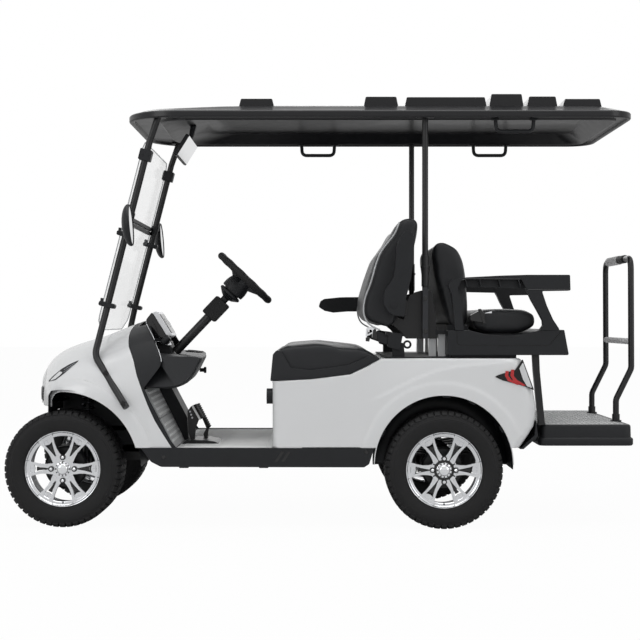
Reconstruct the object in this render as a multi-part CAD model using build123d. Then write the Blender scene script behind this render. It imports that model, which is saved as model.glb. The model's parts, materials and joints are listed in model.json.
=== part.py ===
from build123d import *

import math
import os

# Four-seat electric golf cart. Millimetres. It stands on z = 0 with its nose towards -X
# and its left side towards -Y. The origin is on the ground under the middle of its box.

# ---- Driving dimensions ----------------------------------------------------------------
FRONT_AXLE_X = -1152.5
WHEELBASE = 1670.0
REAR_AXLE_X = FRONT_AXLE_X + WHEELBASE

TYRE_R = 257.0          # outside radius, which is also the axle height
TYRE_W = 210.0
BEAD_R = 167.0          # where the tyre sits on the rim
AXLE_Z = TYRE_R
FRONT_TRACK = 870.0
REAR_TRACK = 980.0

BEAD_GAP = 0.2          # between tyre and rim
SHAFT_GAP = 0.05        # radial, running fits
PIVOT_GAP = 1.0         # beside a pin, between ears that turn past each other
SOFT_GAP = 0.3          # between a cushion and what carries it
SHELL_T = 6.0           # moulded body panels
TUBE_R = 13.5           # canopy struts

BODY_HALF = 560.0       # half width at the rocker panels
ROCKER_T = 20.0
FLOOR_Z = 345.0         # top of the cabin floor
ROCKER_TOP = 353.0
ROCKER_BOTTOM = 269.0
SEAT_BOX_X = -232.0     # front of the seat box
DECK_Z = 743.0          # top of the rear body
STRUT_Y = 452.0         # canopy struts, both ends
ROOF_LIP_Z = 1806.0
FOOTREST_FRONT = 941.0
FOOTREST_REAR = 1363.0
FOOTREST_HALF = 500.0
FOOTREST_TOP = 446.0
FOOTREST_LOW = 356.0


# ---- Helpers ---------------------------------------------------------------------------
def profile(points, radius=0.0):
    """Closed outline through 2-D points, each corner rounded by radius or by its own."""
    if not radius:
        return Polygon(*points, align=None)
    return make_face(FilletPolyline(*points, radius=radius, close=True))


def slab_y(points, y_low, y_high, radius=0.0):
    """Outline in X and Z, as thick as from y_low to y_high."""
    plane = Plane(origin=(0, y_high, 0), x_dir=(1, 0, 0), z_dir=(0, -1, 0))
    return extrude(plane * profile(points, radius), amount=y_high - y_low, dir=plane.z_dir)


def slab_x(points, x_low, x_high, radius=0.0):
    """Outline in Y and Z, as thick as from x_low to x_high."""
    plane = Plane(origin=(x_low, 0, 0), x_dir=(0, 1, 0), z_dir=(1, 0, 0))
    return extrude(plane * profile(points, radius), amount=x_high - x_low, dir=plane.z_dir)


def slab_z(points, z_low, z_high, radius=0.0):
    """Outline in X and Y, as thick as from z_low to z_high."""
    plane = Plane.XY.offset(z_low)
    return extrude(plane * profile(points, radius), amount=z_high - z_low, dir=plane.z_dir)


def block(x_low, x_high, y_low, y_high, z_low, z_high):
    corner = Pos(x_low, y_low, z_low)
    size = (x_high - x_low, y_high - y_low, z_high - z_low)
    return corner * Box(*size, align=(Align.MIN, Align.MIN, Align.MIN))


def rod(start, end, radius):
    """Round bar from one point to another."""
    start, end = Vector(*start), Vector(*end)
    along = end - start
    return extrude(Plane(origin=start, z_dir=along) * Circle(radius), amount=along.length)


def bent_rod(points, bend, radius):
    """Round bar along straight runs joined by arcs."""
    path = FilletPolyline(*points, radius=bend)
    start = Plane(origin=points[0], z_dir=Vector(*points[1]) - Vector(*points[0]))
    return sweep(start * Circle(radius), path=path)


def other_side(shape):
    return mirror(shape, about=Plane.XZ)


def both_sides(shape):
    return shape + other_side(shape)


def join(shapes):
    first, *rest = shapes
    for shape in rest:
        first = first + shape
    return first


NODES = {}


def node(name, shape):
    NODES[name] = shape
    return shape


# ---- Wheels ----------------------------------------------------------------------------
SPOKES = 6
SPOKE_FACE = 25.0       # face of the spokes, behind the tyre's outer side
SPOKE_T = 18.0
BARREL_T = 9.0
POCKET_IN, POCKET_OUT = 60.0, 148.0
POCKET_SPAN = 19.0      # degrees each side of a pocket's middle
FORK_SPAN = 6.0
HUB_R = 46.0
CAP_R = 34.0
LUG_NUT_R = 9.0
LUG_NUT_PCD = 101.6
LUG_NUTS = 4
SPINDLE_R = 15.0
DRUM_R = 95.0
DRUM_T = 45.0
HUB_LENGTH = 95.0       # from the back of the spokes inwards

LUGS = 18               # shoulder lugs on each side of a tyre
LUG_SHARE = 0.62        # of the pitch, the rest is groove
TREAD_SHARE = 0.34      # of the width, from the middle to the shoulder lugs
SIDEWALL = [            # (across from the middle, radius)
    (-0.42 * TYRE_W, BEAD_R), (-0.49 * TYRE_W, BEAD_R + 22), (-0.5 * TYRE_W, TYRE_R - 34),
]
SHOULDER = [            # (across from the middle, lug's radius, groove's radius)
    (-0.5 * TYRE_W, TYRE_R - 30, TYRE_R - 34), (-0.44 * TYRE_W, TYRE_R - 7, TYRE_R - 15),
    (-TREAD_SHARE * TYRE_W, TYRE_R, TYRE_R - 9),
]


def ring_sector(r_low, r_high, half_deg, y_low, y_high):
    """Piece of a ring about the Y axis, centred on +X."""
    low = [(r_low * math.cos(math.radians(a)), r_low * math.sin(math.radians(a)))
           for a in (-half_deg, 0, half_deg)]
    high = [(r_high * math.cos(math.radians(a)), r_high * math.sin(math.radians(a)))
            for a in (half_deg, 0, -half_deg)]
    edges = [ThreePointArc(*low), Line(low[2], high[0]), ThreePointArc(*high), Line(high[2], low[0])]
    plane = Plane(origin=(0, y_high, 0), x_dir=(1, 0, 0), z_dir=(0, -1, 0))
    return extrude(plane * make_face(edges), amount=y_high - y_low, dir=plane.z_dir)


def disc_y(radius, y_low, y_high):
    return rod((0, y_low, 0), (0, y_high, 0), radius)


def turned_y(shape, degrees):
    return Rot(0, degrees, 0) * shape


def around(y, corners):
    """Points round the axle from corners of (radius, degrees)."""
    turns = [(r, math.radians(a)) for r, a in corners]
    return [(r * math.cos(a), y, r * math.sin(a)) for r, a in turns]


def tyre_ring(y, radius):
    """Ring of flats that lie at the radius, one of them on the ground."""
    half = 180 / LUGS
    corner_r = radius / math.cos(math.radians(half))
    return around(y, [(corner_r, 2 * half * i - 90 + half) for i in range(LUGS)])


def lug_ring(y, lug_r, groove_r):
    half = 180 / LUGS * LUG_SHARE
    corner_r = lug_r / math.cos(math.radians(half))
    corners = []
    for i in range(LUGS):
        middle = 360 / LUGS * i - 90
        corners += [(groove_r, middle - half), (corner_r, middle - half)]
        corners += [(corner_r, middle + half), (groove_r, middle + half)]
    return around(y, corners)


def flat_sided(rings):
    """Solid with flat faces between rings whose points lie at the same angles."""
    walls = []
    for low, high in zip(rings, rings[1:]):
        for i in range(len(low)):
            walls.append((low[i - 1], low[i], high[i], high[i - 1]))
    outlines = walls + [rings[0], rings[-1]]
    return Solid(Shell([Face(Wire.make_polygon(points, close=True)) for points in outlines]))


def make_tyre():
    """Tyre with a plain band between two rows of shoulder lugs."""
    side = flat_sided([tyre_ring(*row) for row in SIDEWALL])
    lugs = flat_sided([lug_ring(*row) for row in SHOULDER])
    half = TREAD_SHARE * TYRE_W
    band = flat_sided([tyre_ring(y, TYRE_R - 3) for y in (-half, half)])
    bore = flat_sided([tyre_ring(y, BEAD_R) for y in (-TYRE_W, TYRE_W)])
    return both_sides(side + lugs) + band - bore


def make_rim():
    """Cast wheel about the Y axis, its face towards -Y, with its hub and brake drum."""
    face_y = -TYRE_W / 2 + SPOKE_FACE
    back_y = face_y + SPOKE_T
    rim_r = BEAD_R - BEAD_GAP
    barrel_end = 0.42 * TYRE_W
    barrel = disc_y(rim_r, -barrel_end, barrel_end) - disc_y(rim_r - BARREL_T, -TYRE_W, TYRE_W)
    spokes = disc_y(rim_r - BARREL_T / 2, face_y, back_y)
    pocket = ring_sector(POCKET_IN, POCKET_OUT, POCKET_SPAN, face_y - 1, back_y + 1)
    fork = ring_sector(POCKET_IN + 45, POCKET_OUT - 8, FORK_SPAN, face_y - 1, back_y + 1)
    step = 360 / SPOKES
    spokes -= join([turned_y(pocket, step * (i + 0.5)) for i in range(SPOKES)])
    spokes -= join([turned_y(fork, step * i) for i in range(SPOKES)])
    hub = disc_y(HUB_R, back_y, back_y + HUB_LENGTH)
    drum = disc_y(DRUM_R, back_y + HUB_LENGTH - DRUM_T, back_y + HUB_LENGTH)
    cap = disc_y(CAP_R, face_y - 16, face_y) + disc_y(CAP_R - 8, face_y - 20, face_y - 16)
    nut = Pos(LUG_NUT_PCD / 2, 0, 0) * disc_y(LUG_NUT_R, face_y - 14, face_y)
    nuts = join([turned_y(nut, 360 / LUG_NUTS * i) for i in range(LUG_NUTS)])
    bore = disc_y(SPINDLE_R + SHAFT_GAP, back_y, back_y + HUB_LENGTH + 1)
    return barrel + spokes + (hub + drum - bore) + cap + nuts


WHEELS = [              # (name, axle x, middle y)
    ("front_left", FRONT_AXLE_X, -FRONT_TRACK / 2), ("front_right", FRONT_AXLE_X, FRONT_TRACK / 2),
    ("rear_left", REAR_AXLE_X, -REAR_TRACK / 2), ("rear_right", REAR_AXLE_X, REAR_TRACK / 2),
]


def make_wheels():
    tyre, rim = make_tyre(), make_rim()
    for name, axle_x, middle_y in WHEELS:
        place = Pos(axle_x, middle_y, AXLE_Z)
        outward = rim if middle_y < 0 else Rot(0, 0, 180) * rim
        node(f"tyre_{name}", place * tyre)
        node(f"rim_{name}", place * outward)


# ---- Frame, axles and steering ---------------------------------------------------------
KINGPIN_Y = 340.0
KINGPIN_R = 10.0
STEER_ARM = 70.0        # length of the knuckle's steering arm
YOKE_HALF = 26.0        # half size of the yoke's ears and the knuckle's boss
YOKE_T = 15.0
BOSS_HALF_H = 50.0      # half height of the knuckle's boss
RAIL_Y = 150.0
RAIL_HALF = 22.0
RAIL_LOW, RAIL_HIGH = 262.0, 332.0
FRONT_REACH = -1225.0   # front of the frame rails
AXLE_TUBE_R = 30.0
DIFF_R = 88.0
MOTOR_R = 84.0
SPRING_Y = 262.0
SPRING_W = 50.0
SPRING_HALF = 260.0     # half length of a leaf spring
EYE_RISE = 70.0         # spring eyes above the axle tube's top
EYE_R = 15.0


def make_knuckle():
    """Left front knuckle: boss on the kingpin, stub axle outwards, arm backwards."""
    x, y, z = FRONT_AXLE_X, -KINGPIN_Y, AXLE_Z
    boss = block(x - YOKE_HALF, x + YOKE_HALF, y - YOKE_HALF, y + YOKE_HALF,
                 z - BOSS_HALF_H, z + BOSS_HALF_H)
    hub_back = -FRONT_TRACK / 2 - TYRE_W / 2 + SPOKE_FACE + SPOKE_T
    spindle = rod((x, y, z), (x, hub_back + 2, z), SPINDLE_R)
    arm = block(x, x + STEER_ARM, y + YOKE_HALF - 14, y + YOKE_HALF, z - 45, z - 25)
    pin_hole = rod((x, y, z - 200), (x, y, z + 200), KINGPIN_R + SHAFT_GAP)
    return boss + spindle + arm - pin_hole


def make_front_axle():
    """Lower arms, yokes with their kingpins, and the cross tube on the rails."""
    x, y, z = FRONT_AXLE_X, -KINGPIN_Y, AXLE_Z
    ear_low = z + BOSS_HALF_H + PIVOT_GAP
    ears = []
    for low in (ear_low, 2 * z - ear_low - YOKE_T):
        ears.append(block(x - YOKE_HALF, x + YOKE_HALF, y - YOKE_HALF, y + YOKE_HALF + 60,
                          low, low + YOKE_T))
    post_y = y + YOKE_HALF + 36
    post = block(x - YOKE_HALF, x + YOKE_HALF, post_y, post_y + 24,
                 2 * z - ear_low - YOKE_T, ear_low + YOKE_T)
    pin = rod((x, y, 2 * z - ear_low - YOKE_T), (x, y, ear_low + YOKE_T), KINGPIN_R)
    arm_z = 2 * z - ear_low - YOKE_T
    arm = slab_z([(x - 30, post_y + 12), (x + 30, post_y + 12), (x + 90, -60), (x - 90, -60)],
                 arm_z, arm_z + YOKE_T)
    side = join(ears + [post, pin, arm])
    cross = block(x - 90, x + 90, -RAIL_Y - RAIL_HALF, RAIL_Y + RAIL_HALF, arm_z, RAIL_LOW)
    return both_sides(side) + cross


SHOCK_X = FRONT_AXLE_X + 62.0
SHOCK_TOP = (-213.0, 604.5)     # (y, z)
SHOCK_FOOT = (-262.0, 208.5)
COIL_R = 31.0
COIL_TURNS = 7


def make_front_shocks():
    """Coil-over shocks, one each side, from the lower arm to the tower."""
    top, foot = Vector(SHOCK_X, *SHOCK_TOP), Vector(SHOCK_X, *SHOCK_FOOT)
    along = top - foot
    damper = rod(foot, foot + along * 0.55, 17) + rod(foot + along * 0.5, top, 8)
    seats = [rod(foot + along * a, foot + along * (a + 0.025), COIL_R + 4) for a in (0.3, 0.94)]
    coils = []
    for i in range(COIL_TURNS):
        low = 0.34 + 0.6 * i / COIL_TURNS
        coils.append(rod(foot + along * low, foot + along * (low + 0.03), COIL_R))
    core = rod(foot + along * 0.3, foot + along * 0.95, COIL_R - 7)
    return both_sides(join([damper, core] + seats + coils))


def make_rear_axle():
    """Axle tube with its differential case, motor boss and half shafts."""
    hub_inner = REAR_TRACK / 2 + TYRE_W / 2 - SPOKE_FACE - SPOKE_T - HUB_LENGTH
    x, z = REAR_AXLE_X, AXLE_Z
    tube = rod((x, -hub_inner + 3, z), (x, hub_inner - 3, z), AXLE_TUBE_R)
    shaft = rod((x, -hub_inner - HUB_LENGTH + 3, z), (x, hub_inner + HUB_LENGTH - 3, z), SPINDLE_R)
    case = Pos(x, 0, z) * Sphere(DIFF_R) + rod((x, -105, z), (x, 105, z), 70)
    return tube + shaft + case


def make_drive_motor():
    """Electric motor lying across the cart ahead of the differential."""
    x, z = REAR_AXLE_X - DIFF_R - MOTOR_R, AXLE_Z + 14
    return rod((x, -110, z), (x, 110, z), MOTOR_R)


def make_leaf_springs():
    x, z = REAR_AXLE_X, AXLE_Z + AXLE_TUBE_R
    y_low, y_high = -SPRING_Y - SPRING_W / 2, -SPRING_Y + SPRING_W / 2
    leaves = []
    for i, (half, rise) in enumerate([(SPRING_HALF, 46), (SPRING_HALF * 0.75, 26), (150, 12)]):
        low = z + 8 * (2 - i)
        points = [(x - half, low + rise), (x, low), (x + half, low + rise),
                  (x + half, low + rise + 8), (x, low + 8), (x - half, low + rise + 8)]
        leaves.append(slab_y(points, y_low, y_high))
    clamp = block(x - 40, x + 40, y_low - 8, y_high + 8, z - 2 * AXLE_TUBE_R - 12, z + 34)
    clamp -= rod((x, -900, AXLE_Z), (x, 900, AXLE_Z), AXLE_TUBE_R)
    eyes = []
    for end in (-1, 1):
        eye_x = x + end * SPRING_HALF
        eyes.append(rod((eye_x, y_low, z + EYE_RISE), (eye_x, y_high, z + EYE_RISE), EYE_R))
    return both_sides(join(leaves + [clamp] + eyes))


KICK_LOW, KICK_HIGH = 372.0, 438.0      # rails where they pass over the rear axle
KICK_X = (120.0, 270.0)                 # the rails' tops start and end their rise here
REAR_REACH = FOOTREST_REAR - 51
CROSS_HALF = 20.0
CROSS_X = (-640.0, -250.0, 160.0, 880.0, REAR_REACH - CROSS_HALF - 2)
CROSS_HIGH = RAIL_HIGH - 7
HITCH_R = 8.0           # tow pin's hole in the rearmost cross member
OUTRIGGER_X = (-620.0, -270.0)
OUTRIGGER_END = BODY_HALF - 30
FOOTREST_ARM_X = 975.0  # outriggers under the front of the footrest


def make_rails():
    low_start, high_start = KICK_X[0] + 30, KICK_X[1] + 30
    rail = slab_y([(FRONT_REACH, RAIL_LOW), (low_start, RAIL_LOW), (high_start, KICK_LOW),
                   (REAR_REACH, KICK_LOW), (REAR_REACH, KICK_HIGH), (KICK_X[1], KICK_HIGH),
                   (KICK_X[0], RAIL_HIGH), (FRONT_REACH, RAIL_HIGH)],
                  -RAIL_Y - RAIL_HALF, -RAIL_Y + RAIL_HALF)
    return both_sides(rail)


def make_cross_members():
    """Members between the rails, with outriggers and spring hangers beside them."""
    rail_out, rail_in = -RAIL_Y - RAIL_HALF, RAIL_Y - RAIL_HALF
    hanger_low = AXLE_Z + AXLE_TUBE_R + EYE_RISE + EYE_R
    side = []
    for end in (-1, 1):
        x = REAR_AXLE_X + end * SPRING_HALF
        side.append(block(x - 14, x + 14, -SPRING_Y - SPRING_W / 2, rail_out, hanger_low, KICK_HIGH - 6))
    for x in OUTRIGGER_X:
        side.append(block(x - CROSS_HALF, x + CROSS_HALF, -OUTRIGGER_END, rail_out, RAIL_LOW, CROSS_HIGH))
    side.append(block(FOOTREST_ARM_X - 15, FOOTREST_ARM_X + 15, 30 - FOOTREST_HALF, rail_out,
                      KICK_LOW, KICK_HIGH))
    crosses = []
    for x in CROSS_X:
        low, high = (RAIL_LOW, CROSS_HIGH) if x < KICK_X[1] else (KICK_LOW, KICK_HIGH)
        crosses.append(block(x - CROSS_HALF, x + CROSS_HALF, -rail_in, rail_in, low, high))
    hitch = rod((CROSS_X[-1], 0, KICK_LOW - 5), (CROSS_X[-1], 0, KICK_HIGH + 5), HITCH_R)
    return both_sides(join(side)) + (join(crosses) - hitch)


# ---- Front cowl ------------------------------------------------------------------------
COWL_SECTIONS = [       # (x, top z, shoulder in from the side panels, shoulder z, side in)
    (-1340, 640, 370, 610, 345), (-1300, 700, 230, 640, 208), (-1240, 752, 135, 672, 95),
    (-1150, 800, 114, 715, 25), (-1018, 838, 120, 755, 12), (-850, 905, 90, 800, 2),
    (-500, 990, 60, 850, 0),
]
COWL_SIDE_Z = 560.0     # the side reaches its full width here
COWL_CROWN = 0.6        # share of the shoulder's width under the flat of the hood
FRONT_ARCH_R = 342.0
ARCH_LIP_X = FRONT_AXLE_X - 48
NOSE_LOW = 524.0
COWL_REAR = [           # rear edge of the cowl in side view, top to bottom
    (-848, 1000), (-848, 905), (-842, 732), (-798, 597), (-745, 472), (-671, ROCKER_TOP),
]
SHIELD_T = 12.0


def cowl_block(inset, low=340.0):
    """The cowl's outer form as a closed solid, inset on every side."""
    sections = []
    for x, top, shoulder_in, shoulder_z, side_in in COWL_SECTIONS:
        side_y, shoulder_y = BODY_HALF - side_in, BODY_HALF - shoulder_in
        crown_y = COWL_CROWN * shoulder_y
        half = [(side_y - inset, low), (side_y - inset, COWL_SIDE_Z),
                (shoulder_y - inset, shoulder_z - inset), (crown_y, top - inset)]
        points = half + [(-y, z) for y, z in reversed(half)]
        shift = inset if x == COWL_SECTIONS[0][0] else 0
        plane = Plane(origin=(x + shift, 0, 0), x_dir=(0, 1, 0), z_dir=(1, 0, 0))
        sections.append(plane * Polygon(*points, align=None))
    return loft(sections, ruled=True)


def behind_cowl(forward=0.0):
    edge = [(x - forward, z) for x, z in COWL_REAR]
    far = [(0, ROCKER_TOP - 200), (0, 1200)]
    return slab_y(edge + [(edge[-1][0], ROCKER_TOP - 200)] + far + [(edge[0][0], 1200)], -700, 700)


def front_arch(radius):
    """Space over the front wheels, behind the nose's lower corner."""
    round_part = rod((FRONT_AXLE_X, -700, AXLE_Z), (FRONT_AXLE_X, 700, AXLE_Z), radius)
    round_part = round_part & block(ARCH_LIP_X, 0, -700, 700, 0, 900)
    return round_part + block(-1500, ARCH_LIP_X, -700, 700, 0, NOSE_LOW)


def make_cowl():
    shell = cowl_block(0) - cowl_block(SHELL_T, low=300.0)
    shell -= front_arch(FRONT_ARCH_R)
    shell -= behind_cowl()
    shell -= headlight_space()
    return shell - block(-1500, 0, -700, 700, 0, ROCKER_TOP)


SHIELD_REAR = [(-775, 882), (-719, 732), (-770, 612), (-648, ROCKER_TOP)]


def make_cowl_shields():
    """Black side shields behind the cowl, from the hood down to the rocker."""
    front = [(x, z) for x, z in COWL_REAR[1:]]
    band = slab_y(front + SHIELD_REAR[::-1], -700, 700)
    shell = cowl_block(0) - cowl_block(SHIELD_T, low=300.0)
    return (shell & band) - block(-1500, 0, 130 - BODY_HALF, BODY_HALF - 130, 0, 1200)


LENS_T = 10.0
HEADLIGHT = [(-1262, 636), (-1094, 726), (-1135, 668), (-1190, 642)]


def headlight_space():
    return both_sides(slab_y(HEADLIGHT, -600, -300))


def make_headlights():
    """Lens units let into the cowl's front corners."""
    shell = cowl_block(0) - cowl_block(LENS_T, low=300.0)
    return shell & headlight_space()


LINER_T = 4.0
LINER_Y = 172.0


def make_front_liners():
    """Inner walls and roof of the front wheel wells."""
    wall = block(FRONT_AXLE_X - 80, FRONT_AXLE_X + 330, -LINER_Y, -LINER_Y + LINER_T, 400, 610)
    roof = block(FRONT_AXLE_X - 40, FRONT_AXLE_X + 120, 95 - BODY_HALF, -LINER_Y, 606, 610)
    return both_sides(wall + roof)


# ---- Cabin floor, dash and controls ----------------------------------------------------
DASH = [                # side view
    (-848, 640), (-848, 890), (-775, 872), (-672, 762), (-543, 747), (-569, 688), (-626, 623),
    (-692, 608), (-822, 610),
]
DASH_INSET = 12.3       # dash inside the cowl's outer form
DASH_SECTION = 5        # the cowl section that the dash stands in
CUP_R = 40.0
CUP_DEPTH = 60.0
CUP_X, CUP_Y = -612.0, 300.0
CUP_RIM_Z = 746.0
WHEEL_HUB = (-367.0, -250.0, 1104.0)    # middle of the steering wheel
COLUMN_TILT = 46.4                      # degrees above the horizontal
COLUMN_DIR = (math.cos(math.radians(COLUMN_TILT)), 0, math.sin(math.radians(COLUMN_TILT)))
COLUMN_R = 21.0
STEER_SHAFT_R = 12.0
COLUMN_TOP, COLUMN_END = 110.0, 470.0   # distances below the steering wheel's middle


def on_column(distance):
    return tuple(p - distance * d for p, d in zip(WHEEL_HUB, COLUMN_DIR))


def make_dash():
    x, top, shoulder_in, shoulder_z, side_in = COWL_SECTIONS[DASH_SECTION]
    side_y, shoulder_y = BODY_HALF - side_in, BODY_HALF - shoulder_in
    half = [(side_y - DASH_INSET, COWL_SIDE_Z), (shoulder_y - DASH_INSET, shoulder_z - DASH_INSET),
            (COWL_CROWN * shoulder_y, top - DASH_INSET)]
    front = slab_x(half + [(-y, z) for y, z in reversed(half)], x - 50, x + 450)
    body = slab_y(DASH, -BODY_HALF, BODY_HALF) & front
    cluster = slab_y([(-800, 868), (-785, 950), (-700, 935), (-683, 770), (-760, 800)], -340, -160, 10)
    body += cluster
    floor_z = CUP_RIM_Z - CUP_DEPTH
    for y in (CUP_Y, CUP_Y - 110):
        body -= rod((CUP_X, y, floor_z), (CUP_X, y, 900), CUP_R)
    return body - rod(on_column(0), on_column(COLUMN_END + 60), COLUMN_R)


def make_column():
    tube = rod(on_column(COLUMN_END), on_column(COLUMN_TOP), COLUMN_R)
    cover = Plane(origin=on_column(215), z_dir=COLUMN_DIR) * Box(64, 58, 90)
    bore = rod(on_column(COLUMN_TOP + 80), on_column(0), STEER_SHAFT_R + SHAFT_GAP)
    return tube + cover - bore


STEER_RIM_R = 150.0
STEER_RIM_TUBE = 12.0


def make_steering_wheel():
    plane = Plane(origin=WHEEL_HUB, x_dir=(0, 1, 0), z_dir=COLUMN_DIR)
    rim = plane * Torus(STEER_RIM_R, STEER_RIM_TUBE)
    hub = rod(on_column(62), on_column(10), 36) + rod(on_column(100), on_column(62), 22)
    shaft = rod(on_column(COLUMN_TOP + 70), on_column(90), STEER_SHAFT_R)
    spokes = []
    for angle in (8, 172, 270):
        spoke = Pos(STEER_RIM_R / 2 + 10, 0, 0) * Rot(0, -12, 0) * Box(STEER_RIM_R - 16, 26, 8)
        spokes.append(plane * Rot(0, 0, angle) * Pos(0, 0, -18) * spoke)
    return rim + hub + shaft + join(spokes)


FLOOR_T = 13.0


def make_floor():
    """Flat floor with the curved toe well under the pedals."""
    half = BODY_HALF - ROCKER_T
    return block(-668, SEAT_BOX_X, -half, half, FLOOR_Z - FLOOR_T, FLOOR_Z)


def make_toe_board():
    """Sloping chequer plate between the floor and the dash."""
    points = [(-668, FLOOR_Z - FLOOR_T), (-668, FLOOR_Z), (-786, 608), (-800, 608),
              (-684, FLOOR_Z - FLOOR_T)]
    return slab_y(points, SHIELD_T + ROCKER_T - BODY_HALF, BODY_HALF - SHIELD_T - ROCKER_T)


TUNNEL = [(-786, 608), (-724, 600), (-647, 455), (-640, FLOOR_Z), (-668, FLOOR_Z)]
TUNNEL_HALF = 95.0
TUNNEL_T = 5.0


def make_tunnel_cover():
    """Moulded cover on the toe board between the floor and the dash."""
    outside = slab_y(TUNNEL, -TUNNEL_HALF, TUNNEL_HALF)
    inside = slab_y(TUNNEL, TUNNEL_T - TUNNEL_HALF, TUNNEL_HALF - TUNNEL_T)
    return outside - Pos(-TUNNEL_T, 0, -TUNNEL_T) * inside


def make_pedals():
    """Brake pedal on the left, accelerator on the right."""
    brake = slab_y([(-606, FLOOR_Z), (-590, FLOOR_Z), (-572, 470), (-560, 530), (-572, 533),
                    (-586, 474)], -300, -230)
    accelerator = slab_y([(-560, FLOOR_Z), (-480, FLOOR_Z), (-500, 400), (-535, 530), (-549, 526),
                          (-530, 400)], -190, -110)
    return brake + accelerator


# ---- Side panels and rear body ---------------------------------------------------------
REAR_ARCH_R = 305.0
REAR_ARCH_RISE = 23.0
SIDE_END_X = 208.0
ROCKER = [(-804, ROCKER_TOP), (-760, 285), (-705, ROCKER_BOTTOM), (180, ROCKER_BOTTOM),
          (200, 285), (SIDE_END_X, ROCKER_TOP)]


def make_rockers():
    skin = slab_y(ROCKER, -BODY_HALF, -BODY_HALF + ROCKER_T)
    return both_sides(skin)


SEAT_LINE = [(SEAT_BOX_X, 641), (-57, 650), (110, 671), (243, 737)]
REAR_BODY = [           # side view, its top following the cushion from the front
    (SEAT_BOX_X, ROCKER_TOP), *SEAT_LINE, (262, DECK_Z), (858, DECK_Z), (912, 605), (924, 463),
    (853, ROCKER_TOP),
]
REAR_BODY_IN = [
    (SEAT_BOX_X + SHELL_T, 300), (SEAT_BOX_X + SHELL_T, 634), (-57, 644), (112, 665),
    (245, 737 - SHELL_T), (262, DECK_Z - SHELL_T), (853, DECK_Z - SHELL_T),
    (905, 604), (917, 464), (849, 358), (849, 300),
]


def rear_arch(radius, y_low, y_high):
    centre_z = AXLE_Z + REAR_ARCH_RISE
    cut = rod((REAR_AXLE_X, y_low, centre_z), (REAR_AXLE_X, y_high, centre_z), radius)
    return cut + block(REAR_AXLE_X - radius, REAR_AXLE_X + radius, y_low, y_high, 0, centre_z)


def rail_space():
    """Notch in the tail where the frame rails pass out to the footrest."""
    half = RAIL_Y + RAIL_HALF + 4
    return block(800, 1000, -half, half, 0, KICK_HIGH + 1)


def make_rear_body():
    shell = slab_y(REAR_BODY, -BODY_HALF, BODY_HALF) \
        - slab_y(REAR_BODY_IN, -BODY_HALF + SHELL_T, BODY_HALF - SHELL_T)
    shell -= rear_arch(REAR_ARCH_R, -700, 700)
    return shell - rail_space()


REAR_LINER_IN = REAR_TRACK / 2 - TYRE_W / 2 - 35


def make_rear_liners():
    """Arched inner wells over the rear wheels."""
    outer = rear_arch(REAR_ARCH_R - 1, -BODY_HALF + SHELL_T, -REAR_LINER_IN)
    inner = rear_arch(REAR_ARCH_R - 1 - LINER_T, -700, -REAR_LINER_IN - LINER_T)
    well = outer - inner - block(0, 1000, -700, 0, -100, KICK_LOW - 2)
    return both_sides(well)


def make_valance():
    """Black lower edge of the tail, between the rear arches."""
    points = [(925, 470), (933, 400), (870, 345), (855, 345), (918, 405)]
    return slab_y(points, -BODY_HALF + 30, BODY_HALF - 30) - rail_space()


def make_tail_lights():
    """Corner lamps standing a little proud of the rear body's sides."""
    lamp = slab_y([(738, 664), (858, 742), (862, 738), (912, 605), (870, 618), (800, 640)],
                  -BODY_HALF - 5, -BODY_HALF)
    return both_sides(lamp)


def make_charger_port():
    y = 80 - BODY_HALF
    return rod((SEAT_BOX_X, y, 575), (SEAT_BOX_X - 26, y, 575), 34)


def make_battery():
    return block(-190, 110, -330, 330, RAIL_HIGH, 600)


# ---- Seats -----------------------------------------------------------------------------
CUSHION_HALF = 520.0
BACK_HALF = 500.0
FRONT_CUSHION = [
    (-242, 641), (-229, 780), (-190, 799), (-36, 811), (173, 788), (228, 766), (242, 748),
    *SEAT_LINE[:0:-1],
]
FRONT_BACK = [
    (160, 933), (167, 1010), (195, 1105), (229, 1201), (291, 1287), (322, 1354), (358, 1376),
    (405, 1372), (423, 1344), (398, 1240), (350, 1043), (312, 880), (277, 862), (181, 895),
]


def make_front_cushion():
    lifted = [(x, z + SOFT_GAP) for x, z in FRONT_CUSHION]
    pad = slab_y(lifted, -CUSHION_HALF, CUSHION_HALF)
    return pad


def make_front_back():
    return slab_y(FRONT_BACK, -BACK_HALF, BACK_HALF)


ARM_PIVOT = (303.0, 975.0)              # (x, z)
ARM_LENGTH = 341.0
ARM_Y = (BACK_HALF + 28, BACK_HALF + 66)
ARM_UP = 98.0                           # degrees from level to folded up
ARM_PIN_R = 9.0


def make_armrest():
    """Right armrest, level: pad, pivot eye and tip."""
    x, z = ARM_PIVOT
    points = [(x - ARM_LENGTH, z - 2), (x - ARM_LENGTH, z + 34), (x - 20, z + 40), (x + 22, z + 16),
              (x + 22, z - 20), (x - 20, z - 26)]
    arm = slab_y(points, ARM_Y[0], ARM_Y[1], 12)
    return arm - rod((x, 0, z), (x, 900, z), ARM_PIN_R + SHAFT_GAP)


SUPPORT = [(335, 1043), (476, 1043), (505, 832), (452, DECK_Z), (262, DECK_Z), (300, 870)]
SUPPORT_Y = (BACK_HALF - 96, BACK_HALF - 70)


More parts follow.
